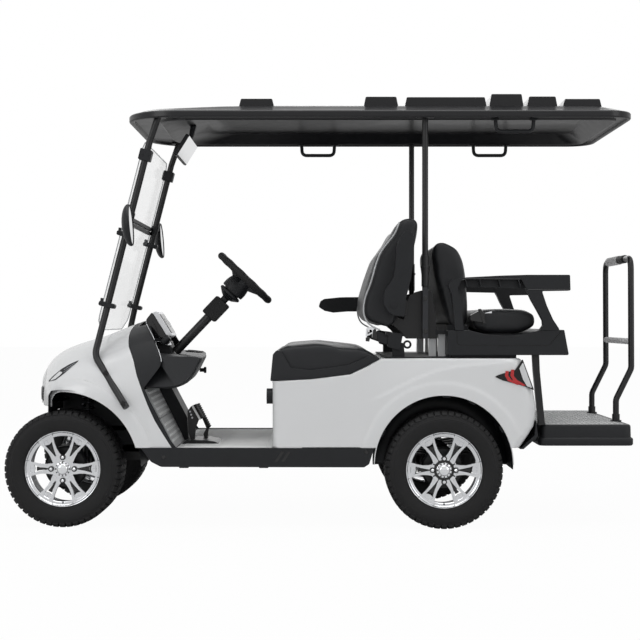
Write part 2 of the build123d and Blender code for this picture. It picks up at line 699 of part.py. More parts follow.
def make_seat_supports():
    """Side plates between the two seat backs, their cross tube, and the armrests' pins."""
    plate = slab_y(SUPPORT, SUPPORT_Y[0], SUPPORT_Y[1])
    inner, outer = (ARM_PIVOT[0], BACK_HALF, ARM_PIVOT[1]), (ARM_PIVOT[0], ARM_Y[1] + 6, ARM_PIVOT[1])
    pin = rod(inner, outer, ARM_PIN_R)
    ear = block(ARM_PIVOT[0] - 24, ARM_PIVOT[0] + 24, BACK_HALF, ARM_Y[0] - PIVOT_GAP, 952, 998)
    tube = rod((430, -SUPPORT_Y[0], 900), (430, SUPPORT_Y[0], 900), TUBE_R)
    return both_sides(plate - slab_y(FRONT_BACK, 0, BACK_HALF) + (pin + ear)) + tube


REAR_BOX_TOP = 865.0
REAR_SEAT_Z = REAR_BOX_TOP + SOFT_GAP
REAR_BACK = [
    (470, 1262), (528, 1276), (593, 1242), (618, 1180), (631, 1112), (641, 970), (641, REAR_SEAT_Z),
    (552, REAR_SEAT_Z), (508, 1043), (492, 1100),
]
REAR_BACK_HALF = 436.0
REAR_BOX = (537.0, 1060.0)              # x
REAR_SEAT_HALF = 540.0
REAR_CUSHION = [
    (646, REAR_SEAT_Z), (646, 942), (700, 956), (860, 962), (930, 952), (950, 920), (944, REAR_SEAT_Z),
]
REAR_CUSHION_HALF = 484.0


def make_rear_back():
    return slab_y(REAR_BACK, -REAR_BACK_HALF, REAR_BACK_HALF)


def make_rear_box():
    """Seat box of the rear bench, open on top under its cushion, on the deck."""
    x_low, x_high = REAR_BOX
    outer = slab_y([(x_low, DECK_Z), (x_low, REAR_BOX_TOP), (x_high - 14, REAR_BOX_TOP),
                    (x_high, REAR_BOX_TOP - 30), (x_high + 8, DECK_Z)], -REAR_SEAT_HALF, REAR_SEAT_HALF)
    well = block(680, 920, -450, 450, DECK_Z + 8, REAR_BOX_TOP + 1)
    riser_half = SUPPORT_Y[0] - 6
    riser = block(452, x_low, -riser_half, riser_half, DECK_Z, 850)
    return outer - well + riser


def make_rear_cushion():
    return slab_y(REAR_CUSHION, -REAR_CUSHION_HALF, REAR_CUSHION_HALF)


REAR_ARM = [
    (562, REAR_BOX_TOP), (543, 1074), (556, 1082), (1064, 1110), (1078, 1096), (1070, 1042),
    (962, 1036), (1030, REAR_BOX_TOP),
]
REAR_ARM_HOLE = [(592, 885), (576, 1036), (600, 1044), (882, 1036), (952, 900), (930, 885)]
REAR_ARM_Y = (REAR_SEAT_HALF - 43, REAR_SEAT_HALF)


def make_rear_arms():
    plate = slab_y(REAR_ARM, REAR_ARM_Y[0], REAR_ARM_Y[1])
    return both_sides(plate - slab_y(REAR_ARM_HOLE, 0, 900, 12))


def make_rear_posts():
    """Posts between the rear bench's box and the footrest."""
    post = slab_y([(934, DECK_Z), (960, DECK_Z), (978, FOOTREST_TOP), (952, FOOTREST_TOP)],
                  -FOOTREST_HALF, 38 - FOOTREST_HALF)
    return both_sides(post)


def make_seat_belts():
    """Buckles on short stalks beside each seat's cushion."""
    y_low, y_high = -SUPPORT_Y[1] - 32, -SUPPORT_Y[1] - 6
    front = slab_y([(236, 842), (250, 790), (262, 772), (280, 772), (268, 806), (262, 856)],
                   y_low, y_high)
    stalk = block(262, 276, y_low + 6, y_high - 6, DECK_Z, 772)
    return both_sides(front + stalk)


# ---- Footrest and grab bar -------------------------------------------------------------
TREAD_T = 3.0           # raised tread plate between the posts and the grab bar's feet
TREAD_X = (FOOTREST_FRONT + 45, FOOTREST_REAR - 66)


def make_footrest():
    x_low, x_high, half = FOOTREST_FRONT, FOOTREST_REAR, FOOTREST_HALF
    outline = [(x_low, -half), (x_high - 40, -half), (x_high, 60 - half), (x_high, half - 60),
               (x_high - 40, half), (x_low, half)]
    step = slab_z(outline, FOOTREST_LOW, FOOTREST_TOP)
    inner = block(x_low + 8, REAR_REACH + 1, 20 - half, half - 20, 0, KICK_HIGH)
    slot = block(x_low - 1, x_low + 9, -RAIL_Y - RAIL_HALF, -RAIL_Y + RAIL_HALF, 0, KICK_HIGH)
    tread = block(*TREAD_X, 15 - half, half - 15, FOOTREST_TOP, FOOTREST_TOP + TREAD_T)
    return step - inner - both_sides(slot) + tread


GRAB_R = 12.5
GRAB_Y = 278.0
GRAB_X = FOOTREST_REAR + 34
GRAB_FOOT_X = FOOTREST_REAR - 34
GRAB_TOP = 1195.0
GRAB_CROSS_Z = 813.0
GRIP_R = 19.5
GRIP_HALF = 190.0


def make_grab_bar():
    route = [(GRAB_FOOT_X, -GRAB_Y, FOOTREST_TOP), (GRAB_FOOT_X, -GRAB_Y, 560), (GRAB_X, -GRAB_Y, 700),
             (GRAB_X, -GRAB_Y, GRAB_TOP), (GRAB_X, 0, GRAB_TOP)]
    half = bent_rod(route, [70, 70, 75], GRAB_R)
    cross = rod((GRAB_X, -GRAB_Y, GRAB_CROSS_Z), (GRAB_X, 0, GRAB_CROSS_Z), GRAB_R - 1.5)
    foot = rod((GRAB_FOOT_X, -GRAB_Y, FOOTREST_TOP), (GRAB_FOOT_X, -GRAB_Y, FOOTREST_TOP + 8), 26)
    return both_sides(half + cross + foot)


def make_grab_grip():
    sleeve = rod((GRAB_X, -GRIP_HALF, GRAB_TOP), (GRAB_X, GRIP_HALF, GRAB_TOP), GRIP_R)
    return sleeve - rod((GRAB_X, -300, GRAB_TOP), (GRAB_X, 300, GRAB_TOP), GRAB_R + 0.1)


# ---- Canopy and windshield -------------------------------------------------------------
STRUT_LOW = (-965.0, 978.0)             # (x, z) on the straight part of a front strut
STRUT_HIGH = (-795.0, 1642.0)
REAR_STRUT_X = 444.0


def strut_x(z):
    """Front strut's middle at a height, on its straight part."""
    share = (z - STRUT_LOW[1]) / (STRUT_HIGH[1] - STRUT_LOW[1])
    return STRUT_LOW[0] + share * (STRUT_HIGH[0] - STRUT_LOW[0])


def front_strut(radius):
    points = [(-871, -BODY_HALF - 24, 530), (-1018, 78 - BODY_HALF, 755), (strut_x(978), -STRUT_Y, 978),
              (strut_x(1700), -STRUT_Y, 1700), (-738, -STRUT_Y, ROOF_LIP_Z + 15)]
    return bent_rod(points, [60, 60, 60], radius) - block(-900, -600, -600, 0, ROOF_LIP_Z, 1900)


def make_front_struts():
    """Bent tubes from the cowl's sides to the roof, with their feet."""
    foot = block(-886, -856, -BODY_HALF - 16, 1.8 - BODY_HALF, 505, 548)
    return both_sides(front_strut(TUBE_R) + foot)


def make_rear_struts():
    tube = rod((REAR_STRUT_X, -STRUT_Y, DECK_Z), (REAR_STRUT_X, -STRUT_Y, ROOF_LIP_Z), TUBE_R)
    return both_sides(tube)


ROOF_RINGS = [          # (z, front x, rear x, half width, front and rear corner radius)
    (ROOF_LIP_Z, -858, 1350, 500, 210, 100), (1830, -890, 1366, 522, 235, 120),
    (1848, -850, 1322, 470, 205, 100), (1866, -420, 1250, 425, 160, 100),
]
ROOF_HOLLOW = [(ROOF_LIP_Z - 1, -730, 1290, 430, 150, 70), (1854, -560, 1230, 405, 130, 70)]
ROOF_RIBS = [           # (front x, rear x, top z)
    (-387, -227, 1902), (172, 329, 1911), (356, 725, 1909), (735, 890, 1923), (904, 1042, 1912),
    (1064, 1240, 1901),
]
RIB_HALF = 400.0


def ring_face(z, x_front, x_rear, half, front_r, rear_r):
    corners = [(x_front, -half), (x_rear, -half), (x_rear, half), (x_front, half)]
    return Plane.XY.offset(z) * profile(corners, [front_r, rear_r, rear_r, front_r])


def ceiling_z(x):
    """Height of the roof's sloping inside over a place near its front."""
    low, high = ROOF_HOLLOW
    return low[0] + (x - low[1]) / (high[1] - low[1]) * (high[0] - low[0])


def make_roof():
    rings = [ring_face(*row) for row in ROOF_RINGS]
    top = join([loft(rings[i:i + 2], ruled=True) for i in range(len(rings) - 1)])
    top -= loft([ring_face(*row) for row in ROOF_HOLLOW], ruled=True)
    under = ROOF_RINGS[-1][0] - 3
    for x_front, x_rear, high in ROOF_RIBS:
        top += slab_y([(x_front, under), (x_front + 12, high), (x_rear - 12, high), (x_rear, under)],
                      -RIB_HALF, RIB_HALF)
    return top


HANDLES = [(756, 927, -1), (757, 925, 1), (-117, 52, 1)]    # (front x, rear x, side)
HANDLE_R = 8.0


def make_roof_handles():
    loops = []
    for x_front, x_rear, side in HANDLES:
        y = side * 450.0
        high = ROOF_LIP_Z + 5
        route = [(x_front, y, high), (x_front + 12, y, 1746), (x_rear - 12, y, 1746),
                 (x_rear, y, high)]
        loops.append(bent_rod(route, 20, HANDLE_R))
    return join(loops) - block(-500, 1300, -500, 500, ROOF_LIP_Z, 1900)


PANE_T = 5.0
PANE_AHEAD = 22.0       # pane's middle ahead of the strut's middle
PANE_HALF = 470.0
FOLD_Z = 1361.0
FOLD_AHEAD = 12.0       # fold axis ahead of the pane's middle
BAR_HALF_T = 6.0
LOWER_PANE = [(-300, 866), (300, 866), (PANE_HALF, 990), (PANE_HALF, FOLD_Z - 3),
              (-PANE_HALF, FOLD_Z - 3), (-PANE_HALF, 990)]
UPPER_PANE = [(-PANE_HALF, FOLD_Z + 3), (PANE_HALF, FOLD_Z + 3), (PANE_HALF, 1668),
              (PANE_HALF - 45, 1704), (45 - PANE_HALF, 1704), (-PANE_HALF, 1668)]


def sheet(outline, half_t):
    low, high = 800.0, 1760.0
    x_low, x_high = strut_x(low) - PANE_AHEAD, strut_x(high) - PANE_AHEAD
    slope = slab_y([(x_low - half_t, low), (x_low + half_t, low), (x_high + half_t, high),
                    (x_high - half_t, high)], -700, 700)
    return slab_x(outline, -1200, -500) & slope


def bar(z_low, z_high):
    outline = [(-PANE_HALF, z_low), (PANE_HALF, z_low), (PANE_HALF, z_high), (-PANE_HALF, z_high)]
    return sheet(outline, BAR_HALF_T)


HINGE_Y = 300.0
HINGE_PIN_R = 3.0
HINGE_EYE_R = 6.0


def make_windshield_lower():
    """Fixed lower pane, its top bar and the pins that the upper pane folds on."""
    pane_x = strut_x(FOLD_Z) - PANE_AHEAD
    axis_x = pane_x - FOLD_AHEAD
    pin = rod((axis_x, HINGE_Y - 15, FOLD_Z), (axis_x, HINGE_Y + 35, FOLD_Z), HINGE_PIN_R)
    ear = slab_y([(axis_x - 3, FOLD_Z - 11), (axis_x - 3, FOLD_Z + 3), (axis_x + 3, FOLD_Z + 3),
                  (axis_x + 3, FOLD_Z - 4), (pane_x - 5, FOLD_Z - 4), (pane_x - 5, FOLD_Z - 15),
                  (axis_x + 2, FOLD_Z - 15)], HINGE_Y + 20, HINGE_Y + 35)
    return sheet(LOWER_PANE, PANE_T / 2) + bar(FOLD_Z - 18, FOLD_Z - 3) + both_sides(pin + ear)


def make_windshield_upper():
    """Folding upper pane, its bottom bar and hinge eyes."""
    axis_x = strut_x(FOLD_Z) - PANE_AHEAD - FOLD_AHEAD
    y_low, y_high = HINGE_Y - 12, HINGE_Y + 18
    eye = rod((axis_x, y_low, FOLD_Z), (axis_x, y_high, FOLD_Z), HINGE_EYE_R)
    eye += block(axis_x - 4, axis_x + FOLD_AHEAD - 1, y_low, y_high, FOLD_Z + 4, FOLD_Z + 17)
    eye -= rod((axis_x, 0, FOLD_Z), (axis_x, 500, FOLD_Z), HINGE_PIN_R + SHAFT_GAP)
    return sheet(UPPER_PANE, PANE_T / 2) + bar(FOLD_Z + 3, FOLD_Z + 18) + both_sides(eye)


CLIPS_Z = (978.0, 1290.0)


def make_strut_clamps():
    """Brackets that carry the windshield on the struts."""
    clips = []
    for z in CLIPS_Z:
        x = strut_x(z)
        clip = block(x - PANE_AHEAD + PANE_T / 2, x + 18, -PANE_HALF + 1, -STRUT_Y + 20, z - 16, z + 16)
        slant = slab_y([(x - 40, z - 16), (x - 40, z + 16), (x + 22, z + 16), (x + 22, z - 16)], -490, -430)
        clips.append(clip & slant)
    rest = block(strut_x(1642) - 10, strut_x(1642) + 40, -STRUT_Y - 16, -STRUT_Y + 20, 1616, 1668)
    raw = join(clips + [rest])
    pane = sheet([(-600, 820), (600, 820), (600, 1750), (-600, 1750)], PANE_T / 2 + 0.3)
    ahead = Pos(-60, 0, 0) * sheet([(-600, 820), (600, 820), (600, 1750), (-600, 1750)], 60)
    return both_sides(raw - front_strut(TUBE_R) - pane - ahead)


MIRROR_X, MIRROR_Y, MIRROR_Z = -861.0, 585.0, 1322.0


def make_mirrors():
    """Two door mirrors on stalks from the struts, and the one under the roof."""
    x, y, z = MIRROR_X, MIRROR_Y, MIRROR_Z
    plane = Plane(origin=(x, -y, z), x_dir=(0, 1, 0), z_dir=(1, 0, 0.08))
    head = extrude(plane * Ellipse(72, 92), amount=22, both=True)
    stalk = rod((strut_x(1369), -STRUT_Y - TUBE_R, 1369), (x + 4, -y, 1369), 9)
    inner = slab_y([(-700, 1678), (-640, 1772), (-624, 1764), (-684, 1670)], -215, 215)
    stem = slab_y([(-652, 1752), (-640, ceiling_z(-640)), (-610, ceiling_z(-610)), (-632, 1752)],
                  -16, 16)
    return both_sides(head + stalk) + (inner + stem)


# ---- Assembly --------------------------------------------------------------------------
make_wheels()
node("frame_rails", make_rails())
node("cross_members", make_cross_members())
node("front_axle", make_front_axle())
node("front_shocks", make_front_shocks())
node("knuckle_left", make_knuckle())
node("knuckle_right", other_side(make_knuckle()))
node("rear_axle", make_rear_axle())
node("drive_motor", make_drive_motor())
node("leaf_springs", make_leaf_springs())
node("battery_pack", make_battery())
node("front_cowl", make_cowl())
node("cowl_shields", make_cowl_shields())
node("headlights", make_headlights())
node("front_liners", make_front_liners())
node("dash", make_dash())
node("steering_column", make_column())
node("steering_wheel", make_steering_wheel())
node("floor_pan", make_floor())
node("toe_board", make_toe_board())
node("tunnel_cover", make_tunnel_cover())
node("pedals", make_pedals())
node("rocker_panels", make_rockers())
node("rear_body", make_rear_body())
node("rear_liners", make_rear_liners())
node("rear_valance", make_valance())
node("tail_lights", make_tail_lights())
node("charger_port", make_charger_port())
node("front_seat_cushion", make_front_cushion())
node("front_seat_back", make_front_back())
node("armrest_right", make_armrest())
node("armrest_left", other_side(
    Pos(ARM_PIVOT[0], 0, ARM_PIVOT[1]) * Rot(0, ARM_UP, 0) * Pos(-ARM_PIVOT[0], 0, -ARM_PIVOT[1])
    * make_armrest()))
node("seat_supports", make_seat_supports())
node("rear_seat_back", make_rear_back())
node("rear_seat_box", make_rear_box())
node("rear_seat_cushion", make_rear_cushion())
node("rear_seat_arms", make_rear_arms())
node("rear_posts", make_rear_posts())
node("seat_belts", make_seat_belts())
node("footrest", make_footrest())
node("grab_bar", make_grab_bar())
node("grab_grip", make_grab_grip())
node("front_struts", make_front_struts())
node("rear_struts", make_rear_struts())
node("roof", make_roof())
node("roof_handles", make_roof_handles())
node("windshield_lower", make_windshield_lower())
node("windshield_upper", make_windshield_upper())
node("strut_clamps", make_strut_clamps())
node("mirrors", make_mirrors())

os.makedirs("parts", exist_ok=True)
for name, shape in NODES.items():
    export_step(shape, f"parts/{name}.step")
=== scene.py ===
# %% [markdown]
# A four-seat golf cart, dressed over its measured frame. What is already the right shape
# keeps its mesh and gets a better finish. What is soft, curved or finely detailed is
# modelled again here.

# %% Load the frame
import json
import math

import bmesh
import bpy
from mathutils import Matrix, Vector


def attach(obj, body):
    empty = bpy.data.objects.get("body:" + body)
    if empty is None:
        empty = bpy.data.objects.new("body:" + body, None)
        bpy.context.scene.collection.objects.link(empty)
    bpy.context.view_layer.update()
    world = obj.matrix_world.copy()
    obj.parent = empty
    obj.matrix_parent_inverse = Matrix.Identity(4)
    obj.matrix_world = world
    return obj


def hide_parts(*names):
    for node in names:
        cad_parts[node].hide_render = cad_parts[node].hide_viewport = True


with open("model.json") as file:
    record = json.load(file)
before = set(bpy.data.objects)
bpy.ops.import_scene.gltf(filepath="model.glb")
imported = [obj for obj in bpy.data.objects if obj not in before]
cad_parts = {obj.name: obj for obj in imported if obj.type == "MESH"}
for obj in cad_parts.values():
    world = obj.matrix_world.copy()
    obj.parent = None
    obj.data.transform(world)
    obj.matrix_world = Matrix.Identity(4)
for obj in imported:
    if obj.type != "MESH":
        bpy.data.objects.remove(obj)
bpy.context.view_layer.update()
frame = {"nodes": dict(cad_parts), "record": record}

NODES = frame["nodes"]

# %% [markdown]
# Materials come first. Each finish is one Principled shader, and what varies over a surface,
# such as grain, dust or wear, is worked out from the object's own coordinates. Two small
# helpers keep that readable: a Wire stands for one socket, so that arithmetic on it adds Math
# nodes, and a Finish holds the material and adds any other node.

# %% Wires and finishes
class Wire:
    """One output socket of a node tree."""

    def __init__(self, tree, socket):
        self.tree = tree
        self.socket = socket

    def math(self, operation, *values):
        node = self.tree.nodes.new("ShaderNodeMath")
        node.operation = operation
        for slot, value in zip(node.inputs, values):
            plug(self.tree, slot, value)
        return Wire(self.tree, node.outputs[0])

    def __add__(self, other):
        return self.math("ADD", self, other)

    def __mul__(self, other):
        return self.math("MULTIPLY", self, other)

    def __sub__(self, other):
        return self.math("SUBTRACT", self, other)

    def __rsub__(self, other):
        return self.math("SUBTRACT", other, self)

    __radd__ = __add__
    __rmul__ = __mul__


def plug(tree, slot, value):
    """Links a Wire into a socket, or writes a plain value on it."""
    if isinstance(value, Wire):
        tree.links.new(value.socket, slot)
    else:
        slot.default_value = value


class Finish:
    """A material with one Principled shader."""

    def __init__(self, name, color, roughness, metallic=0.0, **more):
        self.material = bpy.data.materials.new(name)
        self.material.use_nodes = True
        self.tree = self.material.node_tree
        self.shader = self.tree.nodes["Principled BSDF"]
        self.set(Base_Color=(*color, 1.0), Roughness=roughness, Metallic=metallic, **more)
        coords = self.tree.nodes.new("ShaderNodeTexCoord")
        self.place = Wire(self.tree, coords.outputs["Object"])

    def set(self, **sockets):
        for name, value in sockets.items():
            plug(self.tree, self.shader.inputs[name.replace("_", " ")], value)

    def node(self, kind, settings=None, output=0, **sockets):
        """Any node: its settings first, then values or wires for its sockets."""
        node = self.tree.nodes.new("ShaderNode" + kind)
        for name, value in (settings or {}).items():
            setattr(node, name, value)
        for name, value in sockets.items():
            key = int(name[1:]) if name[0] == "i" and name[1:].isdigit() else name.replace("_", " ")
            plug(self.tree, node.inputs[key], value)
        return Wire(self.tree, node.outputs[output])

    def noise(self, scale, detail=4.0):
        return self.node("TexNoise", Vector=self.place, Scale=scale, Detail=detail, Roughness=0.55)

    def cells(self, scale, feature="F1"):
        return self.node("TexVoronoi", {"feature": feature}, Vector=self.place, Scale=scale)

    def mix(self, factor, low, high):
        return self.node("Mix", {"data_type": "RGBA"}, output=2, i0=factor, i6=(*low, 1.0), i7=(*high, 1.0))

    def stretch(self, x, y, z):
        return self.node("Mapping", Vector=self.place, Scale=(x, y, z))

    def height(self):
        """Height above the ground, in metres, as a wire."""
        return self.node("SeparateXYZ", output=2, Vector=self.place)

    def bump(self, height, distance, strength=1.0):
        normal = self.node("Bump", Height=height, Distance=distance, Strength=strength)
        self.set(Normal=normal)
        return self


def shade(value, tint=(1.0, 1.0, 1.0)):
    return tuple(value * t for t in tint)


# %% [markdown]
# The panels are moulded in white gloss plastic. Up close such a skin has a faint orange-peel
# ripple under its clear coat, and road dust settles towards the sills. The dust is a ramp on
# height, broken up by noise, that dulls the coat a little.

# %% Painted and moulded finishes
def make_body_white():
    f = Finish("body_white", (0.76, 0.77, 0.78), 0.28, Coat_Weight=0.6, Coat_Roughness=0.06)
    dust = (0.62 - f.height()) * f.noise(9.0, 3.0) * 0.3
    dust = dust.math("MAXIMUM", dust, 0.0)
    f.set(Base_Color=f.mix(dust, (0.77, 0.78, 0.79), (0.6, 0.58, 0.55)), Roughness=0.24 + dust * 0.5)
    return f.bump(f.noise(240.0, 2.0), 0.00012, 0.35).material


def make_grained_black(name, color, roughness, grain, depth, **more):
    """Moulded black plastic with a fine leather-like grain."""
    f = Finish(name, color, roughness, Specular_IOR_Level=0.32, **more)
    scuff = f.noise(14.0, 6.0)
    f.set(Roughness=roughness + (scuff - 0.5) * 0.16, Base_Color=f.mix(scuff, shade(0.82, color),
        shade(1.22, color)))
    height = f.cells(grain) + f.noise(grain * 2.1, 2.0) * 0.6
    return f.bump(height, depth, 0.6).material


def make_powder_black():
    f = Finish("powder_black", (0.011, 0.011, 0.012), 0.36, Specular_IOR_Level=0.35, Coat_Weight=0.12,
        Coat_Roughness=0.25)
    f.set(Roughness=0.3 + f.noise(20.0) * 0.14)
    return f.bump(f.noise(900.0, 2.0), 0.00015, 0.5).material


BODY_WHITE = make_body_white()
BLACK_PLASTIC = make_grained_black("black_plastic", (0.0095, 0.0104, 0.0122), 0.48, 700.0, 0.00012)
ROOF_BLACK = make_grained_black("roof_black", (0.009, 0.009, 0.0105), 0.32, 420.0, 0.00008, Coat_Weight=0.1)
GLOSS_BLACK = make_grained_black("gloss_black", (0.006, 0.006, 0.0065), 0.14, 300.0, 0.00003, Coat_Weight=0.5)
POWDER_BLACK = make_powder_black()
print("moulded finishes ready")

# %% [markdown]
# Metals and rubber. Machined alloy shows fine turning marks, which are rings about the
# wheel's own axle, so the marks come from a stretched noise in a piece that is modelled about
# its axle. Rubber is a dull near-black with a grey bloom in patches.

# %% Metals and rubber
def make_alloy(name, color, roughness, marks):
    f = Finish(name, color, roughness, 1.0)
    lines = f.node("TexNoise", Vector=f.stretch(40.0, 900.0, 40.0), Scale=1.0, Detail=2.0)
    cloud = f.noise(30.0, 3.0)
    f.set(Roughness=roughness + (lines - 0.5) * marks + (cloud - 0.5) * 0.08)
    return f.bump(lines, 0.00008, 0.25).material


def make_rubber(name, color, roughness, scale, depth, low=0.75, high=1.5):
    f = Finish(name, color, roughness, Specular_IOR_Level=0.25)
    bloom = f.noise(11.0, 7.0)
    f.set(Base_Color=f.mix(bloom, shade(low, color), shade(high, color)), Roughness=roughness
        + (bloom - 0.5) * 0.15)
    return f.bump(f.noise(scale, 4.0), depth, 0.7).material


ALLOY = make_alloy("machined_alloy", (0.74, 0.75, 0.77), 0.2, 0.12)
ALLOY_DARK = make_alloy("dark_alloy", (0.045, 0.046, 0.05), 0.36, 0.06)
CHROME = make_alloy("chrome", (0.82, 0.83, 0.85), 0.07, 0.02)
ZINC = make_alloy("zinc", (0.42, 0.43, 0.45), 0.34, 0.1)
TYRE = make_rubber("tyre_rubber", (0.01, 0.01, 0.0105), 0.6, 260.0, 0.0002)
SOFT_BLACK = make_rubber("soft_black", (0.011, 0.011, 0.0115), 0.65, 500.0, 0.0002)
FOAM = make_rubber("foam", (0.72, 0.72, 0.725), 0.85, 600.0, 0.0006, 0.85, 1.15)
PLATE_GREY = make_rubber("plate_grey", (0.36, 0.365, 0.37), 0.5, 300.0, 0.0002, 0.8, 1.25)
MAT_GREY = make_rubber("mat_grey", (0.74, 0.75, 0.75), 0.6, 300.0, 0.0002, 0.85, 1.15)
MAT_PALE = make_rubber("mat_pale", (0.88, 0.885, 0.88), 0.75, 300.0, 0.0002, 0.94, 1.04)
STRAP_GREY = make_rubber("strap_grey", (0.035, 0.036, 0.04), 0.42, 500.0, 0.0001)
print("metals and rubbers ready")


# %% [markdown]
# Seat vinyl has a pebbled leather grain, and a soft sheen where light grazes the crowned
# cushions. The grain is a Voronoi crackle bent by noise, at about a millimetre and a half a
# pebble, and creases are a second, slower noise.

# %% Vinyl, lenses and glass
def make_vinyl(name, color, roughness):
    f = Finish(name, color, roughness, Specular_IOR_Level=0.35, Sheen_Weight=0.03, Sheen_Roughness=0.4)
    pebble = f.cells(620.0, "DISTANCE_TO_EDGE")
    pebble = pebble.math("MINIMUM", pebble * 3.0, 0.6)
    crease = f.noise(24.0, 5.0)
    worn = f.noise(5.0, 3.0)
    f.set(Base_Color=f.mix(worn, shade(0.85, color), shade(1.2, color)), Roughness=roughness
        + (worn - 0.5) * 0.12)
    return f.bump(pebble + crease * 0.8, 0.0004, 0.45).material


def make_clear(name, color, roughness, alpha):
    f = Finish(name, color, roughness, Alpha=alpha, Specular_IOR_Level=0.6)
    f.set(Roughness=roughness + f.noise(3.0) * 0.02)
    return f.material


def make_lens(name, color, roughness, glow=0.0):
    f = Finish(name, color, roughness, Coat_Weight=1.0, Coat_Roughness=0.03, Emission_Strength=glow)
    ribs = f.node("TexNoise", Vector=f.stretch(260.0, 260.0, 30.0), Scale=1.0, Detail=1.0)
    f.set(Base_Color=f.mix(ribs, shade(0.8, color), shade(1.1, color)), Emission_Color=(*color, 1.0))
    return f.bump(ribs, 0.0003, 0.4).material


VINYL = make_vinyl("charcoal_vinyl", (0.012, 0.0128, 0.0148), 0.44)
PIPING = make_vinyl("pale_piping", (0.5, 0.51, 0.52), 0.45)
PANE = make_clear("clear_pane", (0.9, 0.94, 0.95), 0.03, 0.16)
PANE_EDGE = make_clear("pane_edge", (0.3, 0.32, 0.33), 0.2, 0.55)
LAMP_SILVER = make_lens("lamp_silver", (0.74, 0.75, 0.76), 0.15)
RED_LENS = make_lens("red_lens", (0.42, 0.012, 0.014), 0.12, 0.15)
MIRROR_GLASS = make_alloy("mirror_glass", (0.9, 0.91, 0.92), 0.02, 0.0)
print("vinyl and glass ready")

# %% [markdown]
# The lens and the floor. The cart is seen square from its left side, from chest height and
# about seven metres away, through a short telephoto, so near and far struts show apart.
# The floor and the air are white to the camera, and the lamps are big and soft.

# %% Camera, floor and light
EYE = Vector((-0.0227, -6.55, 0.911))
LENS_MM = 77.26
SENSOR_MM = 36.0


def add_camera():
    data = bpy.data.cameras.new("camera")
    data.lens = LENS_MM
    data.sensor_width = SENSOR_MM
    data.clip_end = 100.0
    camera = bpy.data.objects.new("camera", data)
    camera.location = EYE
    camera.rotation_euler = (math.radians(90), 0, 0)
    bpy.context.scene.collection.objects.link(camera)
    bpy.context.scene.camera = camera


def add_lamp(name, place, aim, size, watts):
    data = bpy.data.lights.new(name, "AREA")
    data.shape = "RECTANGLE"
    data.size, data.size_y = size
    data.energy = watts
    lamp = bpy.data.objects.new(name, data)
    lamp.location = place
    toward = Vector(aim) - Vector(place)
    lamp.rotation_euler = toward.to_track_quat("-Z", "Y").to_euler()
    bpy.context.scene.collection.objects.link(lamp)


def add_floor():
    mesh = bpy.data.meshes.new("floor")
    mesh.from_pydata([(-40, -40, 0), (40, -40, 0), (40, 40, 0), (-40, 40, 0)], [], [(0, 1, 2, 3)])
    floor = bpy.data.objects.new("floor", mesh)
    bpy.context.scene.collection.objects.link(floor)
    f = Finish("floor_white", (0.86, 0.86, 0.86), 0.9)
    glow = f.node("Emission", Color=(1, 1, 1, 1), Strength=1.0)
    rays = f.tree.nodes.new("ShaderNodeLightPath")
    camera_ray = Wire(f.tree, rays.outputs["Is Camera Ray"])
    lit = Wire(f.tree, f.shader.outputs[0])
    blend = f.node("MixShader", i0=camera_ray * 0.97, i1=lit, i2=glow)
    plug(f.tree, f.tree.nodes["Material Output"].inputs["Surface"], blend)
    mesh.materials.append(f.material)


def set_world():
    world = bpy.data.worlds.new("studio")
    bpy.context.scene.world = world
    world.use_nodes = True
    tree = world.node_tree
    air = tree.nodes["Background"]
    rays = tree.nodes.new("ShaderNodeLightPath")
    seen = Wire(tree, rays.outputs["Is Camera Ray"])
    seen = seen.math("MAXIMUM", seen, Wire(tree, rays.outputs["Is Transmission Ray"]))
    glossy = Wire(tree, rays.outputs["Is Glossy Ray"])
    strength = seen.math("MAXIMUM", seen, glossy * 0.8)
    plug(tree, air.inputs["Strength"], strength.math("MAXIMUM", strength, 0.42))
    air.inputs["Color"].default_value = (1, 1, 1, 1)


add_camera()
add_floor()
set_world()
add_lamp("overhead", (-0.3, -1.2, 5.4), (0, 0, 0.6), (5.5, 3.6), 130)
add_lamp("left_front", (-4.5, -4.6, 2.6), (-0.4, 0, 0.7), (2.6, 2.6), 46)
add_lamp("left_rear", (4.6, -4.2, 2.2), (0.4, 0, 0.7), (2.4, 2.4), 30)
add_lamp("back", (0.5, 5.4, 3.2), (0, 0, 1.0), (4.5, 2.0), 46)
bpy.context.scene.view_settings.view_transform = "Standard"
print("stage set")

# %% [markdown]
# Mesh helpers. Most pieces are one of four things: a flat outline given some thickness, a
# profile turned about an axle, a tube along a bent line, or a skin stretched over a few
# curves. Each helper returns a bmesh, so pieces can be put together before they are named.

# %% Mesh helpers
def mm(points):
    """Points given in millimetres, as metres."""
    return [tuple(v / 1000 for v in point) for point in points]


def bend(start, pull, end, steps):
    """Points along a curve from start to end that bows towards a third point."""
    shares = [i / steps for i in range(steps + 1)]
    return [start * (1 - t) ** 2 + pull * 2 * t * (1 - t) + end * t ** 2 for t in shares]


def arc_corner(before, corner, after, radius, steps):
    """Points that round one corner of a 2-D outline."""
    into, out = (before - corner), (after - corner)
    half = into.angle(out) / 2
    reach = min(radius / max(math.tan(half), 1e-4), 0.45 * into.length, 0.45 * out.length)
    start, end = corner + into.normalized() * reach, corner + out.normalized() * reach
    return bend(start, corner, end, steps)


def rounded(points, radius=0.01, steps=5):
    """A closed 2-D outline with its corners rounded. A point may carry its own radius."""
    flat = [Vector(p[:2]) for p in points]
    radii = [p[2] if len(p) > 2 else radius for p in points]
    made = []
    for i, corner in enumerate(flat):
        before, after = flat[i - 1], flat[(i + 1) % len(flat)]
        if radii[i] <= 0:
            made.append(corner)
        else:
            made += arc_corner(before, corner, after, radii[i], steps)
    return made


